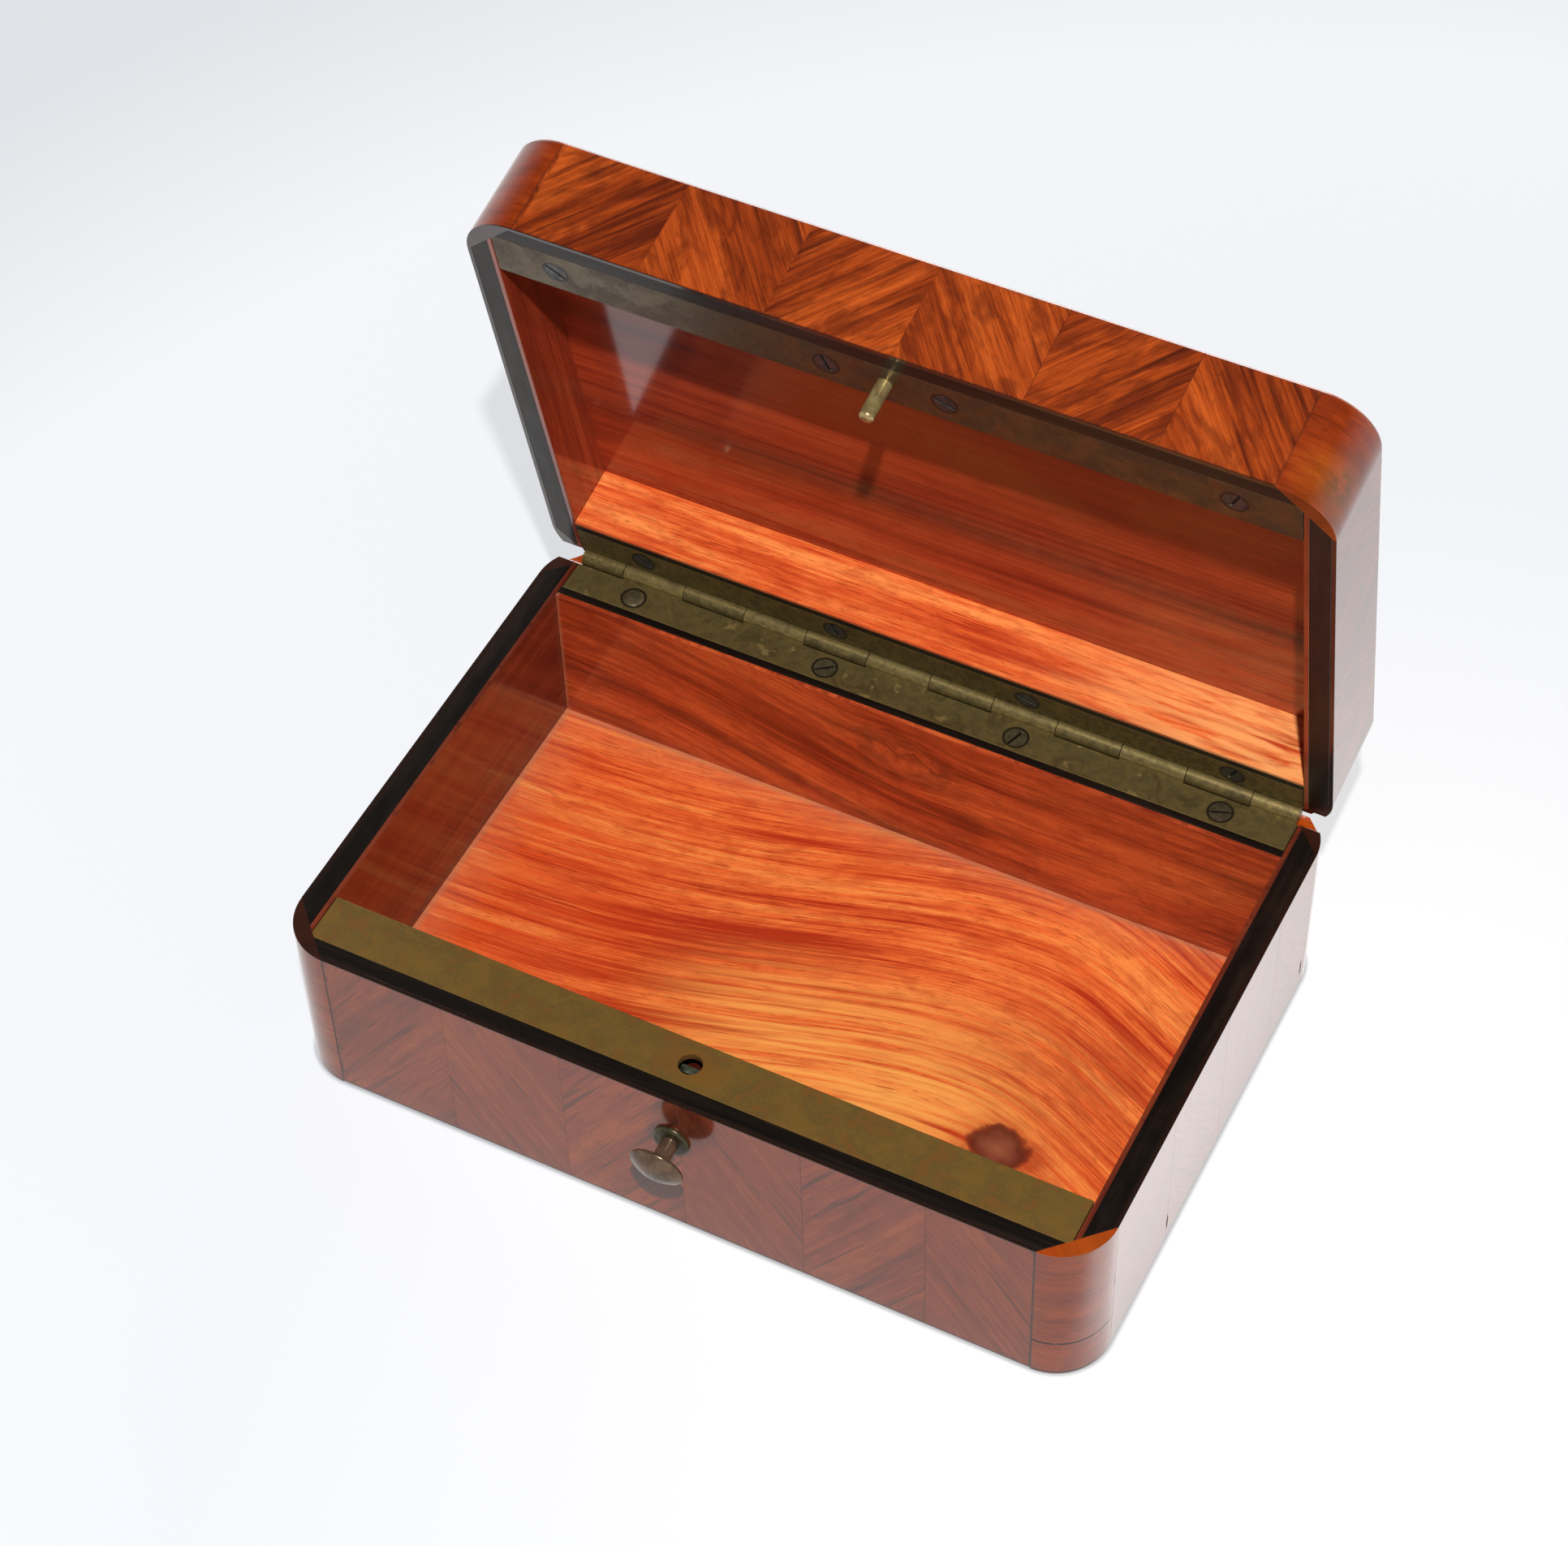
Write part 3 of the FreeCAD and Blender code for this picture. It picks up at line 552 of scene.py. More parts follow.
class Timber(Surface):
    """One polished wood on one part of the box, with its grain and its marks."""

    def __init__(self, finish: WoodFinish, flow: Flow, place: Place, suffix: str) -> None:
        """Builds the polished wood.

        Args:
            finish: Its colours and figure.
            flow: How its grain runs.
            place: The half of the box that it is on.
            suffix: What tells its material from others with the same finish.
        """
        super().__init__(finish.name + suffix, place)
        self.wood = finish
        self.flow = flow
        self.on_base = place.turn == 0
        self.along, self.across, self.seed = self.grain()
        self.lay_figure()
        marks = {
            Flow.CHEVRON_FRONT: self.mark_long_face,
            Flow.CHEVRON_SIDE: self.mark_side_face,
            Flow.CORNER: self.mark_corner,
            Flow.ROUND_KNOT: self.mark_floor,
            Flow.ROUND_EYE: self.mark_back_lining,
            Flow.PALING: self.mark_lid_lining,
        }
        if flow in marks:
            marks[flow]()
        self.lay_polish()

    def grain(self) -> tuple[Socket, Socket, Socket]:
        """Finds the distance along and across the grain, and a seed.

        Returns:
            Along, across and seed.
        """
        x, y, z = self.x, self.y, self.z
        if self.flow in (Flow.CHEVRON_FRONT, Flow.CHEVRON_SIDE, Flow.CHEVRON_TOP):
            return self.chevron()
        if self.flow is Flow.CORNER:
            quarter = self.math("ADD", self.math("SIGN", x), self.scaled(self.math("SIGN", y), 3.0))
            return self.math("SUBTRACT", self.size(x), self.size(y)), z, quarter
        if self.flow is Flow.DEPTH:
            return y, z, self.scaled(x, 0.4)
        if self.flow is Flow.ROUND_KNOT:
            return x, self.over_knot(), self.scaled(z, 0.3)
        if self.flow is Flow.ROUND_EYE:
            return x, self.round_eye(), self.scaled(y, 0.4)
        return x, self.math("ADD", y, z), self.scaled(z, 0.1)

    def chevron(self) -> tuple[Socket, Socket, Socket]:
        """Lays the grain in diagonal panels that lean to and fro.

        Returns:
            Along, across and a seed for each panel.
        """
        on_side = self.flow is Flow.CHEVRON_SIDE
        level, depth = (self.y, self.x) if on_side else (self.x, self.y)
        height = self.z
        if self.flow is Flow.CHEVRON_TOP:
            height = self.size(self.y)
            depth = self.scaled(self.math("SIGN", self.y), 40.0)
        ahead = self.math("SUBTRACT", level, CHEVRON.side_seam if on_side else CHEVRON.seam)
        lean = self.math("PINGPONG", ahead, CHEVRON.width)
        panel = self.math("FLOOR", self.scaled(ahead, 1 / CHEVRON.width))
        angle = math.radians(CHEVRON.base_angle if self.on_base else CHEVRON.lid_angle)
        sine, cosine = math.sin(angle), math.cos(angle)
        along = self.math("SUBTRACT", self.scaled(height, sine), self.scaled(lean, cosine))
        across = self.math("ADD", self.scaled(height, cosine), self.scaled(lean, sine))
        return along, across, self.math("MULTIPLY_ADD", panel, 5.3, self.scaled(depth, 0.07))

    def over_knot(self) -> Socket:
        """Lifts the floor's grain over its knot.

        Returns:
            The distance across the grain.
        """
        offset = self.math("SUBTRACT", self.x, KNOT.crest)
        before = self.scaled(self.math("MINIMUM", offset, 0.0), 1 / KNOT.left_reach)
        after = self.scaled(self.math("MAXIMUM", offset, 0.0), 1 / KNOT.right_reach)
        square = self.math("MULTIPLY_ADD", before, before, self.product(after, after))
        hump = self.math("POWER", math.e, self.scaled(square, -1.0))
        return self.math("SUBTRACT", self.y, self.scaled(hump, KNOT.lift))

    def round_eye(self) -> Socket:
        """Bends the back lining's grain round its eye.

        Returns:
            The distance across the grain.
        """
        x, z = self.x, self.z
        slant = self.math("MULTIPLY_ADD", self.fall(x, EYE.drop_end, EYE.drop_start), EYE.drop, z)
        wobble = self.scaled(self.noise(self.vector(x, 0.0, z), 0.2, 3.0), 5.0, -2.5)
        apart = self.math("ADD", self.scaled(z, -0.7, 0.7 * EYE.z), wobble)
        return self.math("MULTIPLY_ADD", self.spot(EYE_HEART), apart, slant)

    def grain_place(self, length: float, width: float, shift: float = 0.0) -> Socket:
        """Gives a place in noise stretched along the grain; shift tells layers apart."""
        along = self.scaled(self.along, 1 / length)
        return self.vector(along, self.scaled(self.across, 1 / width), self.scaled(self.seed, 1.0, shift))

    def lay_figure(self) -> None:
        """Works out the wood's colour from its figure, pores, blotches, streaks and panels."""
        wood = self.wood
        tone: Value = 0.0
        for width, length, share in GRAIN_LAYERS:
            place = self.grain_place(length * wood.run, width * wood.stripe)
            tone = self.math("MULTIPLY_ADD", self.noise(place, detail=4.0, warp=0.3), share, tone)
        spread = TONE_SPREAD / wood.contrast
        stops = [(0.5 - spread, wood.dark), (0.5, wood.body), (0.5 + spread, wood.pale)]
        self.colour = self.ramp(tone, stops)
        for length, width, level in PORE_SIZES:
            fleck = self.rise(self.noise(self.grain_place(length, width), detail=1.5), level, level + 0.1)
            self.tint(self.scaled(fleck, wood.pores), times(wood.dark, 0.5))
        if wood.mottle:
            blotch = self.noise(self.grain_place(7.0, 3.2, 3.0), detail=4.0, warp=0.8)
            self.tint(self.scaled(self.rise(blotch, 0.42, 0.68), wood.mottle), wood.dark)
        if wood.streaks:
            streak = self.noise(self.grain_place(34.0, 1.9, 7.0), detail=3.0, warp=0.3)
            self.tint(self.scaled(self.rise(streak, 0.57, 0.7), wood.streaks), times(wood.dark, 0.35))
        if wood.panel_tone:
            shade = self.chance(self.math("FLOOR", self.seed))
            self.tint(self.scaled(shade, wood.panel_tone), wood.dark)

    def rim(self, share: float = 1.0) -> Socket:
        """Gives the line where base and lid meet."""
        return self.line(self.z, RIM_LEVEL, RIM_HALF, share)

    def foot(self) -> Socket:
        """Gives the painted contact shade along the foot, darker towards the bottom edge."""
        return self.scaled(self.fall(self.z, 0.5, 1.1), 0.8)

    def corner_seam(self, half: float) -> Socket:
        """Gives the seams beside the corner pieces: the lid's are tighter."""
        return self.line(self.size(self.x), CORNER_SEAM, half, 0.85 if self.on_base else 0.35)

    def dents(self) -> Socket:
        """Finds the short dents in the base's right face.

        Returns:
            Nearly 1 in a dent, 0 elsewhere.
        """
        wide, high = DENT_SIZE
        spots = [Spot(y=(y, wide), z=(z, high), inner=0.6, share=0.95) for y, z in DENT_PLACES]
        at_right = self.math("GREATER_THAN", self.x, 0.0)
        return self.product(self.most(*(self.spot(spot) for spot in spots)), at_right)

    def mark_long_face(self) -> None:
        """Darkens the rim and seams of a front or back face and paints contact shade along its foot; on the
        base, paints the knob's shadow above it and grime with painted shade round its bush.
        """
        lean = self.math("PINGPONG", self.scaled(self.x, 1.0, -CHEVRON.seam), CHEVRON.width)
        panel_seam = self.most(*(self.line(lean, edge, 0.1, 0.4) for edge in (0.0, CHEVRON.width)))
        panel_seam = self.product(panel_seam, self.scaled(self.rise(self.x, -10.0, 30.0), 0.7, 0.3))
        # Painted contact shade along the foot joins the dark rim and seams.
        lines = self.most(self.rim(), self.foot(), self.corner_seam(0.2), panel_seam)
        if self.on_base:
            # Painted shadow of the knob above it, and grime with painted shade round its bush.
            lines = self.most(lines, self.spot(KNOB_SHADE), self.spot(BUSH_GRIME_AND_SHADE))
        self.tint(lines, EBONY.body)

    def mark_side_face(self) -> None:
        """Darkens the rim and the dents of a side face, and paints contact shade along the foot."""
        self.tint(self.most(self.rim(), self.foot()), EBONY.body)
        self.tint(self.dents(), EBONY.body)

    def mark_corner(self) -> None:
        """Darkens a corner's seams and rim, paints contact shade along its foot, and stains the lid's front
        right one, whose rim is bare.
        """
        front_right = self.product(
            self.math("GREATER_THAN", self.x, 0.0), self.math("LESS_THAN", self.y, 0.0))
        patch = self.product(self.line(self.z, PATCH_SEAM, 0.3), front_right)
        self.tint(self.most(self.corner_seam(0.25), patch, self.foot()), SEAM_BROWN)
        self.tint(self.product(self.rim(0.96), self.math("SUBTRACT", 1.0, front_right)), EBONY.body)
        self.tint(self.spot(LID_YELLOW), (0.38, 0.12, 0.008))
        blotch = self.rise(self.noise(self.here, 0.45, 3.0), 0.35, 0.6)
        self.tint(self.product(self.spot(LID_STAIN), blotch), (0.075, 0.042, 0.006))

    def mark_back_lining(self) -> None:
        """Darkens the slanting band, the ring of the eye and the blot beside it, and dusts the joint."""
        x, z = self.x, self.z
        wobble = self.scaled(self.noise(self.here, 0.22, 3.0), 1.2, -0.6)
        rings = self.reach([(x, EYE.x, EYE.length), (z, EYE.z, EYE.height)])
        ring = self.line(self.math("ADD", rings, wobble), 0.72, 0.26, 0.5)
        band = self.line(self.math("ADD", self.across, wobble), 17.5, 1.7, 0.6)
        band = self.product(band, self.fall(x, 0.0, 14.0))
        broken = self.noise(self.vector(self.scaled(x, 0.2), self.y, z), 0.9, 3.0)
        dark = self.most(ring, self.spot(EYE_BLOT), band)
        self.tint(self.product(dark, self.scaled(broken, 1.6)), (0.085, 0.009, 0.004))
        self.tint(self.scaled(self.fall(x, -74.2, -73.3), 0.45), DUST)

    def mark_lid_lining(self) -> None:
        """Pales the lid's back lining towards its right end."""
        place = self.vector(self.scaled(self.x, 1 / 14.0), self.y, self.scaled(self.z, 0.6))
        streaks = self.rise(self.noise(place, 1.0, 4.0, 0.6), 0.3, 0.6)
        self.tint(self.product(self.rise(self.x, 5.0, 68.0), streaks, 0.8), (1.0, 0.44, 0.14))

    def floor_noise(self, length: float, width: float, detail: float, warp: float) -> Socket:
        """Samples noise that follows the floor's figure, in cells of a length and width."""
        place = self.vector(self.scaled(self.x, 1 / length), self.scaled(self.across, 1 / width), self.z)
        return self.noise(place, 1.0, detail, warp)

    def mark_floor(self) -> None:
        """Adds the floor's warm middle, its red and dull parts, dust along the joints and the knot."""
        x, y = self.x, self.y
        lit = self.rise(self.floor_noise(40.0, 1 / 0.7, 6.0, 0.4), 0.36, 0.62)
        self.tint(self.product(self.spot(FLOOR_WARM), lit), (1.0, 0.41, 0.09))
        fibre = self.rise(self.floor_noise(9.0, 1 / 4.6, 4.0, 1.0), 0.53, 0.7)
        self.tint(self.scaled(fibre, 0.36), (0.36, 0.04, 0.009))
        self.tint(self.product(self.spot(FLOOR_RED), lit), (0.74, 0.075, 0.012))
        cloudy = self.rise(self.floor_noise(1 / 0.12, 1 / 0.7, 5.0, 0.8), 0.3, 0.7)
        self.tint(self.product(self.spot(FLOOR_DULL), cloudy), (0.4, 0.085, 0.022))
        near_joint = self.most(self.fall(x, -74.0, -72.4), self.rise(y, 38.2, 39.6))
        faded = self.most(self.fall(x, -75.0, -62.0), self.rise(y, 31.0, 40.0))
        film = self.product(faded, self.scaled(self.noise(self.here, 0.5, 4.0), 0.5))
        self.tint(self.most(self.scaled(near_joint, 0.6), film), DUST)
        wobble = self.scaled(self.noise(self.here, 0.3, 3.0), 0.8, -0.4)
        rings = self.reach([(x, KNOT.x, KNOT.length), (y, KNOT.y, KNOT.width)])
        rings = self.math("ADD", rings, wobble)
        halo = self.scaled(self.fall(rings, 0.9, 2.0), 0.35)
        self.tint(self.most(halo, self.spot(KNOT_SIDE)), (0.42, 0.035, 0.01))
        heart = self.ramp(self.scaled(rings, 0.5), list(KNOT.shades))
        self.tint(self.scaled(self.fall(rings, 0.95, 1.2), 0.92), heart)

    def lay_polish(self) -> None:
        """Lays the polish over the colour; a dent breaks it."""
        polish = self.wood.polish
        fibre = self.noise(self.grain_place(1 / 0.12, 0.25), detail=1.0)
        flat = self.bump(self.noise(self.here, 1 / polish.ripple_length, 1.0), polish.ripple)
        coat: Value = polish.weight
        if self.flow is Flow.CHEVRON_SIDE:
            coat = self.scaled(self.dents(), -coat, coat)
        inputs = {
            "Base Color": self.colour,
            "Roughness": self.scaled(fibre, 0.3, 0.35),
            "Specular IOR Level": 0.1,
            "Coat Weight": coat,
            "Coat Roughness": polish.gloss,
            "Coat IOR": polish.index,
            "Normal": self.bump(fibre, 0.003, flat),
            "Coat Normal": flat,
        }
        self.close(self.node("ShaderNodeBsdfPrincipled", inputs).outputs[0])


class AgedMetal(Surface):
    """One metal on one part of the box, with clouds of patina, stains, fine scratches and painted edge
    highlights.
    """

    def __init__(self, finish: BrassFinish, place: Place, suffix: str = "", stained_at: Span | None = None,
                 screws: tuple[Span, ...] = (), edge_highlights_at: tuple[float, ...] = (),
                 slot_level: float | None = None) -> None:
        """Builds the metal.

        Args:
            finish: Its colours and wear.
            place: The half of the box that it is on.
            suffix: What tells its material from others with the same finish.
            stained_at: Middle of a stain.
            screws: Middles of the screws that have grime and painted shade round them, in the gap at their
                heads.
            edge_highlights_at: Depths of the edges that get a painted highlight line.
            slot_level: Height of the crowns of screws; what lies deeper, in their slots, gets painted shade.
        """
        super().__init__(finish.name + suffix, place)
        x, y, z = self.x, self.y, self.z
        cloud = self.noise(self.here, 1 / finish.cloud, 4.0, 0.6)
        speck = self.noise(self.here, 1.6, 3.0)
        patina = self.rise(self.math("MULTIPLY_ADD", cloud, 0.7, self.scaled(speck, 0.3)), 0.38, 0.62)
        self.colour = self.mix(patina, finish.bright, finish.patina)
        stain = self.rise(self.noise(self.here, 0.2, 4.0, 1.0), 0.52, 0.68)
        if stained_at is not None:
            ring = self.reach([(x, stained_at[0], 9.0), (y, stained_at[1], 5.0)])
            stain = self.most(stain, self.fall(ring, 0.25, 1.0))
        self.tint(self.scaled(stain, 0.45), finish.stain)
        if finish.flecks:
            fleck = self.noise(self.vector(x, y, self.scaled(z, 1.0, 31.0)), 0.3, 2.0)
            self.tint(self.scaled(self.rise(fleck, 0.64, 0.72), finish.flecks), times(finish.bright, 1.8))
        # A painted highlight line along each given edge, broken up by the patina's clouds.
        for edge in edge_highlights_at:
            painted_highlight = self.product(self.line(y, edge, 0.1, 0.55), self.rise(cloud, 0.35, 0.6))
            self.tint(painted_highlight, times(finish.bright, 1.7))
        # A dark ring round each screw head: grime, and painted shade in the gap between head and plate.
        for screw_x, screw_y in screws:
            outside = self.scaled(self.reach([(x, screw_x, 1.0), (y, screw_y, 1.0)]), 1.0, -SCREW_RIM)
            grime_and_shade = self.fall(self.size(self.scaled(outside, 1.0, -0.12)), 0.16, 0.42)
            self.tint(self.scaled(grime_and_shade, 0.9), SCREW_GRIME_AND_SHADE)
        # Painted shade in the screw slots, below the crowns.
        if slot_level is not None:
            below = self.size(self.scaled(z, 1.0, -slot_level))
            self.tint(self.scaled(self.rise(below, 0.33, 0.41), 0.9), SLOT_PAINTED_SHADE)
        streak_place = self.vector(self.scaled(x, 0.25), self.scaled(y, 5.0), self.scaled(z, 5.0))
        streak = self.noise(streak_place, detail=2.0)
        roughness = self.scaled(streak, 0.1, finish.roughness - 0.05)
        grit = self.math("MULTIPLY_ADD", speck, 0.6, self.scaled(streak, 0.4))
        inputs = {
            "Base Color": self.colour,
            "Metallic": finish.metallic,
            "Roughness": self.math("MULTIPLY_ADD", patina, 0.16, roughness),
            "Normal": self.bump(grit, 0.008),
        }
        self.close(self.node("ShaderNodeBsdfPrincipled", inputs).outputs[0])


def pick(piece: Piece) -> None:
    """Selects one object alone and makes it active."""
    bpy.ops.object.select_all(action="DESELECT")
    piece.select_set(True)
    bpy.context.view_layer.objects.active = piece


def screw_places(mesh: bpy.types.Mesh, place: Place, at_back: bool) -> tuple[Span, ...]:
    """Finds where the screws of one plate stand.

    Args:
        mesh: The mesh of a group of screws.
        place: The half of the box that they are on.
        at_back: Whether to give those at the back or those in front.

    Returns:
        The x and y of each screw with the box shut, in millimetres.
    """
    groups: list[list[Vector]] = []
    for point in place.points(mesh):
        near = [points for points in groups if (points[0] - point).xy.length < 2 * SCREW_RIM]
        if near:
            near[0].append(point)
        else:
            groups.append([point])
    middles = []
    for points in groups:
        if (points[0].y > 0) == at_back:
            axes = ([point[axis] for point in points] for axis in (0, 1))
            middles.append(tuple((min(parts) + max(parts)) / 2 for parts in axes))
    return tuple(middles)


def solid_numbers(mesh: bpy.types.Mesh) -> list[int]:
    """Numbers the solids of a mesh of loose triangles, which follow one another solid by solid.

    Args:
        mesh: The mesh.

    Returns:
        The number of each triangle's solid.
    """
    numbers = []
    current = 0
    open_edges: set[frozenset] = set()
    for polygon in mesh.polygons:
        corners = [tuple(round(part, 7) for part in mesh.vertices[index].co) for index in polygon.vertices]
        for first, second in zip(corners, corners[1:] + corners[:1]):
            open_edges ^= {frozenset((first, second))}
        numbers.append(current)
        if not open_edges:
            current += 1
    return numbers


@dataclass
class Workshop:
    """Copies CAD nodes into finished pieces with eased edges, and hands them to their bodies."""

    nodes: dict[str, Piece]
    weld: float = 0.001
    flatness: float = 0.5
    sharp: float = 32.0
    solid_mark: str = "solid"

    def worked(self, node: str, ease: float) -> Piece:
        """Makes the finished piece for a CAD node: welded, cleaned and with its sharp edges eased.

        Args:
            node: The CAD node's name.
            ease: Width of the eased edges in millimetres.

        Returns:
            The new piece, at the origin.
        """
        piece = bpy.data.objects.new(f"{node}.finished", self.nodes[node].data.copy())
        bpy.context.scene.collection.objects.link(piece)
        pick(piece)
        self.weld_solids(piece.data)
        bpy.ops.object.mode_set(mode="EDIT")
        bpy.ops.mesh.select_all(action="SELECT")
        bpy.ops.mesh.dissolve_limited(angle_limit=math.radians(self.flatness))
        bpy.ops.object.mode_set(mode="OBJECT")
        if ease:
            eased = piece.modifiers.new("eased_edges", "BEVEL")
            eased.width = ease * MM
            eased.segments = 2
            eased.limit_method = "ANGLE"
            eased.angle_limit = math.radians(self.sharp)
            bpy.ops.object.modifier_apply(modifier=eased.name)
        low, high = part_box(node)
        for vertex in piece.data.vertices:
            vertex.co = [min(max(part, least), most) for part, least, most in zip(vertex.co, low, high)]
        bpy.ops.object.shade_smooth_by_angle(angle=math.radians(self.sharp))
        flat_faces = piece.modifiers.new("flat_faces", "WEIGHTED_NORMAL")
        flat_faces.weight = 100
        flat_faces.keep_sharp = True
        bpy.ops.object.modifier_apply(modifier=flat_faces.name)
        return piece

    def weld_solids(self, mesh: bpy.types.Mesh) -> None:
        """Welds the loose triangles of each solid by itself, so that solids that touch stay apart.

        Args:
            mesh: The active object's mesh.
        """
        bpy.context.tool_settings.mesh_select_mode = (False, False, True)
        mark = mesh.attributes.new(self.solid_mark, "INT", "FACE")
        numbers = solid_numbers(mesh)
        mark.data.foreach_set("value", numbers)
        for number in range(max(numbers) + 1):
            mesh.vertices.foreach_set("select", [False] * len(mesh.vertices))
            mesh.edges.foreach_set("select", [False] * len(mesh.edges))
            own = [row.value == number for row in mesh.attributes[self.solid_mark].data]
            mesh.polygons.foreach_set("select", own)
            bpy.ops.object.mode_set(mode="EDIT")
            bpy.ops.mesh.remove_doubles(threshold=self.weld * MM)
            bpy.ops.object.mode_set(mode="OBJECT")
        mesh.attributes.remove(mesh.attributes[self.solid_mark])

    def fit(self, node: str, finish: Surface, slot: Slot, ease: float) -> None:
        """Puts a finished piece in a CAD node's stead.

        Args:
            node: The CAD node's name.
            finish: The piece's finish.
            slot: The record's material slot; not used.
            ease: Width of the eased edges in millimetres.
        """
        piece = self.worked(node, ease)
        piece.data.materials.clear()
        piece.data.materials.append(finish.material)
        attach(piece, self.nodes[node]["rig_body"])
        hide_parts(node)
        LOG.info("%s: %d faces", piece.name, len(piece.data.polygons))

    def finish_hidden(self, node: str, finish: Surface) -> None:
        """Gives a CAD node that stays as it is its finish.

        Args:
            node: The CAD node's name.
            finish: The finish.
        """
        mesh = self.nodes[node].data
        mesh.materials.clear()
        mesh.materials.append(finish.material)
        LOG.info("%s: kept from the frame", node)


@dataclass
class Half:
    """What the base and the lid share: walls, corner pieces, veneers, bands and linings."""

    shop: Workshop
    place: Place
    name: str
    veneer: WoodFinish = KINGWOOD
    lining: WoodFinish = LID_LINING_WOOD
    corner: WoodFinish = CORNER_WOOD
    edge: float = 0.12
    seam: float = 0.04

    def timber(self, finish: WoodFinish, flow: Flow, part: str) -> Timber:
        """Makes a wood for one part of this half of the box."""
        return Timber(finish, flow, self.place, f"_{self.name}_{part}")

    def dress_walls(self, back_lining: Timber) -> None:
        """Builds and dresses the walls, corners, veneers, bands and linings.

        Args:
            back_lining: Finish of the back lining.
        """
        carcass = self.timber(CARCASS, Flow.LENGTH, "carcass")
        corner = self.timber(self.corner, Flow.CORNER, "corner")
        ebony_long = self.timber(EBONY, Flow.LENGTH, "ebony_long")
        ebony_side = self.timber(EBONY, Flow.DEPTH, "ebony_side")
        face_long = self.timber(self.veneer, Flow.CHEVRON_FRONT, "long")
        face_side = self.timber(self.veneer, Flow.CHEVRON_SIDE, "side")
        side_lining = self.timber(self.lining, Flow.DEPTH, "side_lining")
        front_lining = self.timber(self.lining, Flow.LENGTH, "lining")
        for side in Side:
            across = side in (Side.LEFT, Side.RIGHT)
            wall = f"{self.name}_{side.value}"
            self.shop.finish_hidden(f"{wall}_wall", carcass)
            self.shop.fit(f"{wall}_veneer", face_side if across else face_long, Slot.KINGWOOD, self.seam)
            self.shop.fit(f"{wall}_ebony", ebony_side if across else ebony_long, Slot.EBONY, self.edge)
            long_lining = back_lining if side is Side.BACK else front_lining
            self.shop.fit(f"{wall}_lining", side_lining if across else long_lining, Slot.ROSEWOOD, self.edge)
        for depth in (Side.FRONT, Side.BACK):
            for width in (Side.LEFT, Side.RIGHT):
                node = f"{self.name}_corner_{depth.value}_{width.value}"
                self.shop.fit(node, corner, Slot.KINGWOOD, self.edge)


@dataclass
class BoxBase(Half):
    """The base: walls, floor and the patch on its front right corner."""

    veneer: WoodFinish = FADED_KINGWOOD
    lining: WoodFinish = LINING_WOOD
    corner: WoodFinish = FADED_CORNER

    def build(self) -> None:
        """Builds and dresses the base."""
        self.dress_walls(self.timber(BACK_WOOD, Flow.ROUND_EYE, "back_lining"))
        self.shop.finish_hidden("bottom_board", self.timber(CARCASS, Flow.LENGTH, "bottom"))
        floor = self.timber(FLOOR_WOOD, Flow.ROUND_KNOT, "floor")
        self.shop.fit("floor_panel", floor, Slot.ROSEWOOD, 0.0)
        patch = self.timber(self.corner, Flow.CORNER, "patch")
        self.shop.fit("base_corner_patch", patch, Slot.KINGWOOD, self.edge)


@dataclass
class BoxLid(Half):
    """The lid: walls, top veneer and the roof panel inside."""

    def build(self) -> None:
        """Builds and dresses the lid."""
        self.dress_walls(self.timber(LID_BACK_WOOD, Flow.PALING, "back_lining"))
        self.shop.finish_hidden("lid_top_board", self.timber(CARCASS, Flow.LENGTH, "top"))
        self.shop.fit("lid_roof_panel", self.timber(ROOF_WOOD, Flow.LENGTH, "roof"), Slot.ROSEWOOD, 0.0)
        top = self.timber(self.veneer, Flow.CHEVRON_TOP, "top_face")
        self.shop.fit("lid_top_veneer", top, Slot.KINGWOOD, self.seam)


@dataclass
class Hinge:
    """The full-width brass butt hinge with its pin and screws."""

    shop: Workshop
    shut: Place
    edge: float = 0.12
    screw_edge: float = 0.08
    barrel_edge: float = 49.5

    def build(self) -> None:
        """Builds and dresses the two leaves, the pin and the screws."""
        still = Place()
        base_mesh = self.shop.nodes["hinge_base_screws"].data
        lid_mesh = self.shop.nodes["lid_screws"].data
        # Painted highlights along the front edge of the leaves and along the barrel.
        highlight_edges = (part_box("hinge_base_leaf")[0][1] * PER_METRE + self.edge, self.barrel_edge)
        base_places = screw_places(base_mesh, still, True)
        leaf = AgedMetal(HINGE_BRASS, still, "_base_leaf", screws=base_places, edge_highlights_at=highlight_edges)
        self.shop.fit("hinge_base_leaf", leaf, Slot.BRASS, self.edge)
        lid_places = screw_places(lid_mesh, self.shut, True)
        # The lid's leaf takes the darker copy of the hinge brass: painted shade.
        lid_leaf = AgedMetal(SHADED_HINGE_BRASS, self.shut, "_lid_leaf", screws=lid_places, edge_highlights_at=highlight_edges)
        self.shop.fit("hinge_lid_leaf", lid_leaf, Slot.BRASS, self.edge)
        self.shop.finish_hidden("hinge_pin", AgedMetal(HINGE_BRASS, still, "_pin"))
        crown = max(point.z for point in still.points(base_mesh))
        screws = AgedMetal(SCREW_METAL, still, "_base", slot_level=crown)
        self.shop.fit("hinge_base_screws", screws, Slot.SCREW_METAL, self.screw_edge)
        lid_crown = min(point.z for point in self.shut.points(lid_mesh))
        lid_screws = AgedMetal(DARK_SCREW, self.shut, "_lid", slot_level=lid_crown)
        self.shop.fit("lid_screws", lid_screws, Slot.SCREW_METAL, self.screw_edge)


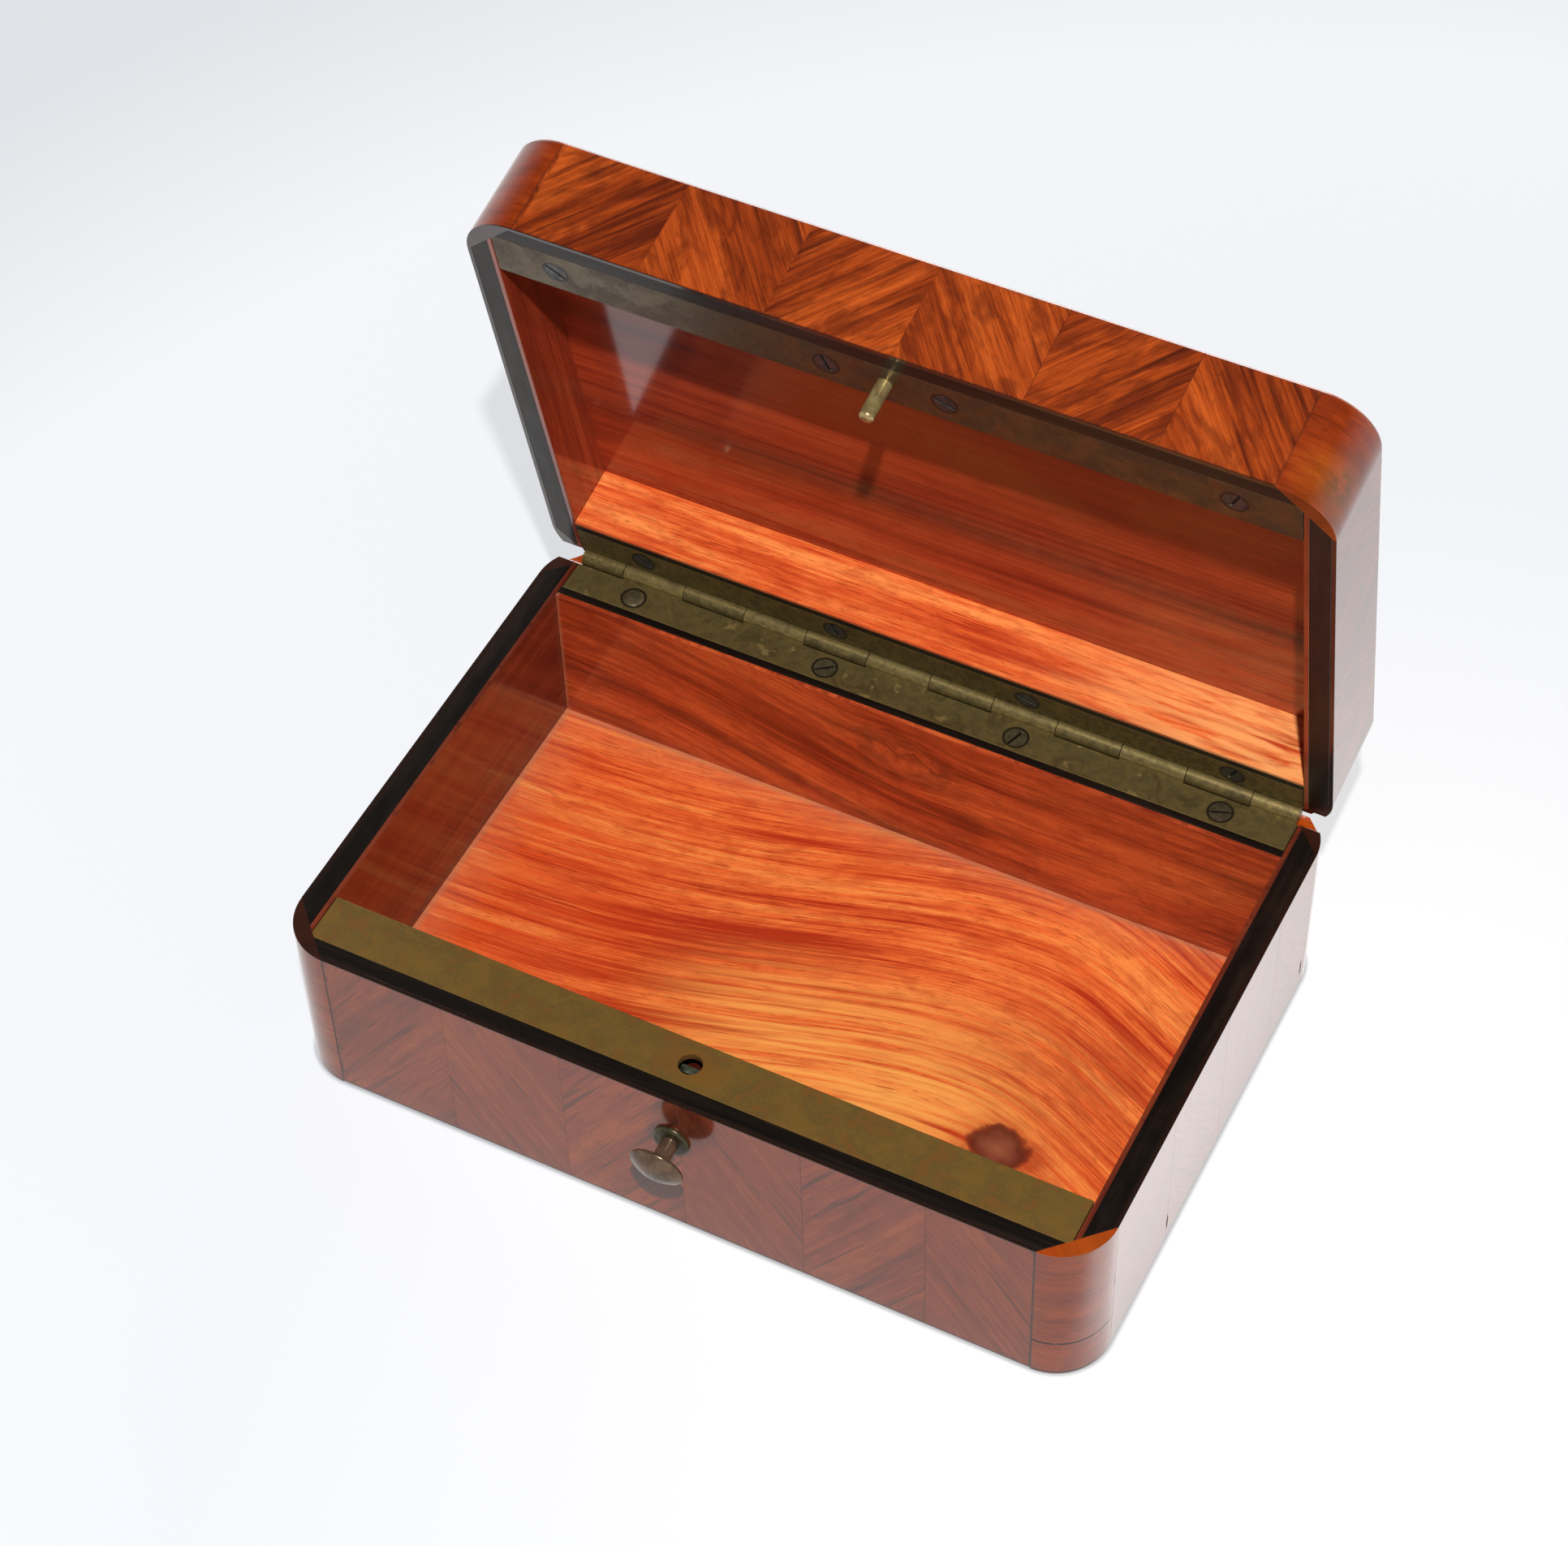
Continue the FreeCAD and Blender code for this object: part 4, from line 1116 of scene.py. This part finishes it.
@dataclass
class Catch:
    """The catch: lock plate and catch plate, the pin, the spring in the wall and the push knob."""

    shop: Workshop
    shut: Place
    hole: Span = (0.0, -45.8)
    edge: float = 0.12
    spring_edge: float = 0.06
    spring_foot: float = 0.3
    spring_lip: float = 2.4
    spring_cuts: int = 10

    def build(self) -> None:
        """Builds and dresses the plates, pin, knob and spring."""
        still = Place()
        screws = screw_places(self.shop.nodes["lid_screws"].data, self.shut, False)
        metals = (
            ("lock_plate", AgedMetal(PLATE_BRASS, still, "_lock", self.hole), self.edge),
            ("catch_plate", AgedMetal(CATCH_BRASS, self.shut, "_catch", self.hole, screws), self.edge),
            ("catch_pin", AgedMetal(PIN_BRASS, self.shut, "_pin"), 0.08),
            ("knob", AgedMetal(KNOB_BRASS, still, "_knob"), 0.06),
            ("knob_bush", AgedMetal(BUSH_BRASS, still), 0.1),
        )
        for node, metal, ease in metals:
            self.shop.fit(node, metal, Slot.BRASS, ease)
        steel = AgedMetal(SPRING_STEEL, still)
        for node in ("catch_spring_screw", "knob_stop_collar"):
            self.shop.finish_hidden(node, steel)
        self.bend_spring(steel)

    def bend_spring(self, steel: AgedMetal) -> None:
        """Makes the leaf spring, which in the real box bends between its screwed foot and the knob's stem;
        here it is only cut across in even steps from near its foot, and does not bend.

        Args:
            steel: The spring's finish.
        """
        node = "catch_spring"
        low, high = (Vector(corner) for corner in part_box(node))
        spring = self.shop.worked(node, self.spring_edge)
        foot = low.x + self.spring_foot * (high.x - low.x)
        pick(spring)
        bpy.ops.object.mode_set(mode="EDIT")
        for cut in range(self.spring_cuts):
            place = foot + (high.x - foot) * cut / self.spring_cuts
            bpy.ops.mesh.select_all(action="SELECT")
            bpy.ops.mesh.bisect(plane_co=(place, 0.0, 0.0), plane_no=(1.0, 0.0, 0.0))
        bpy.ops.object.mode_set(mode="OBJECT")
        spring.data.materials.clear()
        spring.data.materials.append(steel.material)
        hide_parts(node)
        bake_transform(spring)
        LOG.info("%s: %d faces, bends between foot and knob", spring.name, len(spring.data.polygons))


@dataclass(frozen=True)
class Lamp:
    """A round lamp: the way that it shines, where it aims, its distance and width in metres, its power."""

    way: Colour
    target: Colour
    distance: float
    width: float
    watts: float


@dataclass
class Studio:
    """The pale floor, the lamps, the surroundings and the camera, in metres; the floor's marks are in mm."""

    floor_half: float = 2.5
    foot_half: Span = (80.0, 54.5)
    foot_round: float = 10.6
    eye: Colour = (0.2045905, -0.3838911, 0.5918321)
    right: Colour = (0.8916, 0.4521, -0.0241)
    up: Colour = (-0.3346, 0.694, 0.6375)
    lens: float = 90.05
    sensor: float = 36.0
    key: Lamp = Lamp((-0.25, 0.485, -0.835), (-0.01, 0.055, 0.09), 0.95, 0.022, 9.9)
    back: Lamp = Lamp((0.25, -0.93, -0.22), (0.0, 0.06, 0.05), 1.3, 0.6, 5.5)
    sky: Colour = (0.97, 0.98, 1.0)
    fill: float = 0.045
    overhead: float = 0.05
    backdrop: float = 0.98
    bounce: Colour = (0.12, 0.12, 0.12)
    paper_light: float = 1.02
    paper_share: float = 0.72
    # Painted pool of light on the floor: its middle, its reach and its shades.
    light_pool_middle: Span = (120.0, -20.0)
    light_pool_reach: float = 500.0
    light_pool_falloff: tuple[tuple[float, Colour], ...] = (
        (0.16, (1.0, 1.0, 1.0)),
        (0.42, (0.91, 0.925, 0.965)),
        (0.68, (0.955, 0.968, 0.995)),
        (0.86, (0.82, 0.83, 0.87)),
    )

    def build(self) -> None:
        """Sets up floor, lamps, surroundings, camera and view."""
        bpy.context.scene.view_settings.view_transform = "Standard"
        self.lay_floor()
        self.hang_lamps()
        self.set_surroundings()
        self.stand_camera()

    def lay_floor(self) -> None:
        """Lays the floor, pale to the camera with a painted pool of light and a painted contact shadow round
        the box's foot, bright in polish with a painted reflection beside the box, and keeping the box's
        shadow.
        """
        bpy.ops.object.select_all(action="DESELECT")
        bpy.ops.mesh.primitive_plane_add(size=2 * self.floor_half)
        floor = bpy.context.active_object
        floor.name = "studio_floor"
        graph = Surface("pale_floor", Place())
        x, y = graph.x, graph.y
        # Painted pool of light: the floor is white near a middle beside the box and dims, with a blue cast,
        # further away.
        middle = zip((x, y), self.light_pool_middle)
        away = graph.reach([(value, place, self.light_pool_reach) for value, place in middle])
        graph.colour = graph.ramp(away, list(self.light_pool_falloff))
        # Painted contact shadow round the box's foot.
        graph.tint(graph.scaled(graph.fall(self.from_foot(graph), -0.2, 1.0), 0.55), (0.1, 0.1, 0.11))
        diffuse = graph.node("ShaderNodeBsdfDiffuse", {"Color": graph.colour}).outputs[0]
        bounce = graph.node("ShaderNodeBsdfDiffuse", {"Color": self.bounce}).outputs[0]
        glowing = {"Color": graph.colour, "Strength": self.paper_light}
        lift = graph.node("ShaderNodeEmission", glowing).outputs[0]
        seen = graph.blend(self.paper_share, diffuse, lift)
        # Painted reflection: in polish the floor glows brighter beside the box's right side and dimmer in
        # front of it.
        brighter_reflection_beside = graph.product(
            graph.rise(x, 70.0, 90.0), graph.rise(y, -62.0, -46.0), graph.fall(y, -10.0, 170.0))
        dimmer_reflection_in_front = graph.product(graph.fall(y, -62.0, -46.0), -0.2)
        glow = graph.math("ADD", graph.scaled(brighter_reflection_beside, 0.6, 1.0), dimmer_reflection_in_front)
        mirrored = graph.node("ShaderNodeEmission", {"Color": (1.0, 1.0, 1.0), "Strength": glow}).outputs[0]
        path = graph.node("ShaderNodeLightPath", {})
        camera, glossy, through = (
            path.outputs[f"Is {ray} Ray"] for ray in ("Camera", "Glossy", "Transmission"))
        plain = graph.blend(camera, bounce, seen)
        graph.close(graph.blend(graph.most(glossy, through), plain, mirrored))
        floor.data.materials.append(graph.material)
        floor.active_material.cycles.emission_sampling = "NONE"

    def from_foot(self, graph: Surface) -> Socket:
        """Measures the distance from the box's rounded foot.

        Args:
            graph: The floor's material.

        Returns:
            The distance in millimetres, below 0 inside the foot.
        """
        beyond = []
        for value, half in zip((graph.x, graph.y), self.foot_half):
            outside = graph.scaled(graph.size(value), 1.0, self.foot_round - half)
            beyond.append((graph.most(outside, 0.0), 0.0, 1.0))
        return graph.scaled(graph.reach(beyond), 1.0, -self.foot_round)

    def hang_lamps(self) -> None:
        """Hangs the small lamp near the camera and a wide low one that lights the back."""
        for lamp in (self.key, self.back):
            way = Vector(lamp.way).normalized()
            place = Vector(lamp.target) - lamp.distance * way
            turn = way.to_track_quat("-Z", "Y").to_euler()
            bpy.ops.object.light_add(type="AREA", location=place, rotation=turn)
            hung = bpy.context.active_object
            hung.visible_camera = False
            hung.data.shape = "DISK"
            hung.data.size = lamp.width
            hung.data.energy = lamp.watts

    def set_surroundings(self) -> None:
        """Sets the soft light all round: white to the camera, dim overhead in polish."""
        world = bpy.data.worlds.new("studio")
        bpy.context.scene.world = world
        world.use_nodes = True
        world.cycles.sampling_method = "NONE"
        graph = Graph(world.node_tree)
        where = graph.node("ShaderNodeTexCoord", {}).outputs["Generated"]
        height = graph.node("ShaderNodeSeparateXYZ", {0: where}).outputs[2]
        inputs = {"Value": height, "From Min": 0.1, "From Max": 0.7, "To Min": 1.0, "To Max": self.overhead}
        overhead = graph.node("ShaderNodeMapRange", inputs).outputs[0]
        result, in_polish, seen = (
            graph.node("ShaderNodeBackground", {"Color": self.sky, "Strength": strength}).outputs[0]
            for strength in (self.fill, overhead, self.backdrop)
        )
        path = graph.node("ShaderNodeLightPath", {})
        for ray, shader in (("Glossy", in_polish), ("Transmission", in_polish), ("Camera", seen)):
            result = graph.blend(path.outputs[f"Is {ray} Ray"], result, shader)
        graph.close(result, "ShaderNodeOutputWorld")

    def stand_camera(self) -> None:
        """Stands the camera where the photograph was taken."""
        right = Vector(self.right).normalized()
        back = right.cross(Vector(self.up)).normalized()
        turn = Matrix((right, back.cross(right), back)).transposed()
        bpy.ops.object.camera_add(location=self.eye, rotation=turn.to_euler())
        camera = bpy.context.active_object
        camera.data.lens = self.lens
        camera.data.sensor_width = self.sensor
        camera.data.sensor_fit = "HORIZONTAL"
        bpy.context.scene.camera = camera


def main() -> None:
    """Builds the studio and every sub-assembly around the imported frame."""
    logging.basicConfig(level=logging.INFO, format="%(name)s %(message)s")
    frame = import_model()
    joints = {joint["name"]: joint for joint in frame["joints"]}
    shut = shut_place(joints["lid_hinge"])
    shop = Workshop(frame["nodes"])
    Studio().build()
    BoxBase(shop, Place(), Body.BASE.value).build()
    BoxLid(shop, shut, Body.LID.value).build()
    Hinge(shop, shut).build()
    Catch(shop, shut).build()


if __name__ == "__main__":
    main()
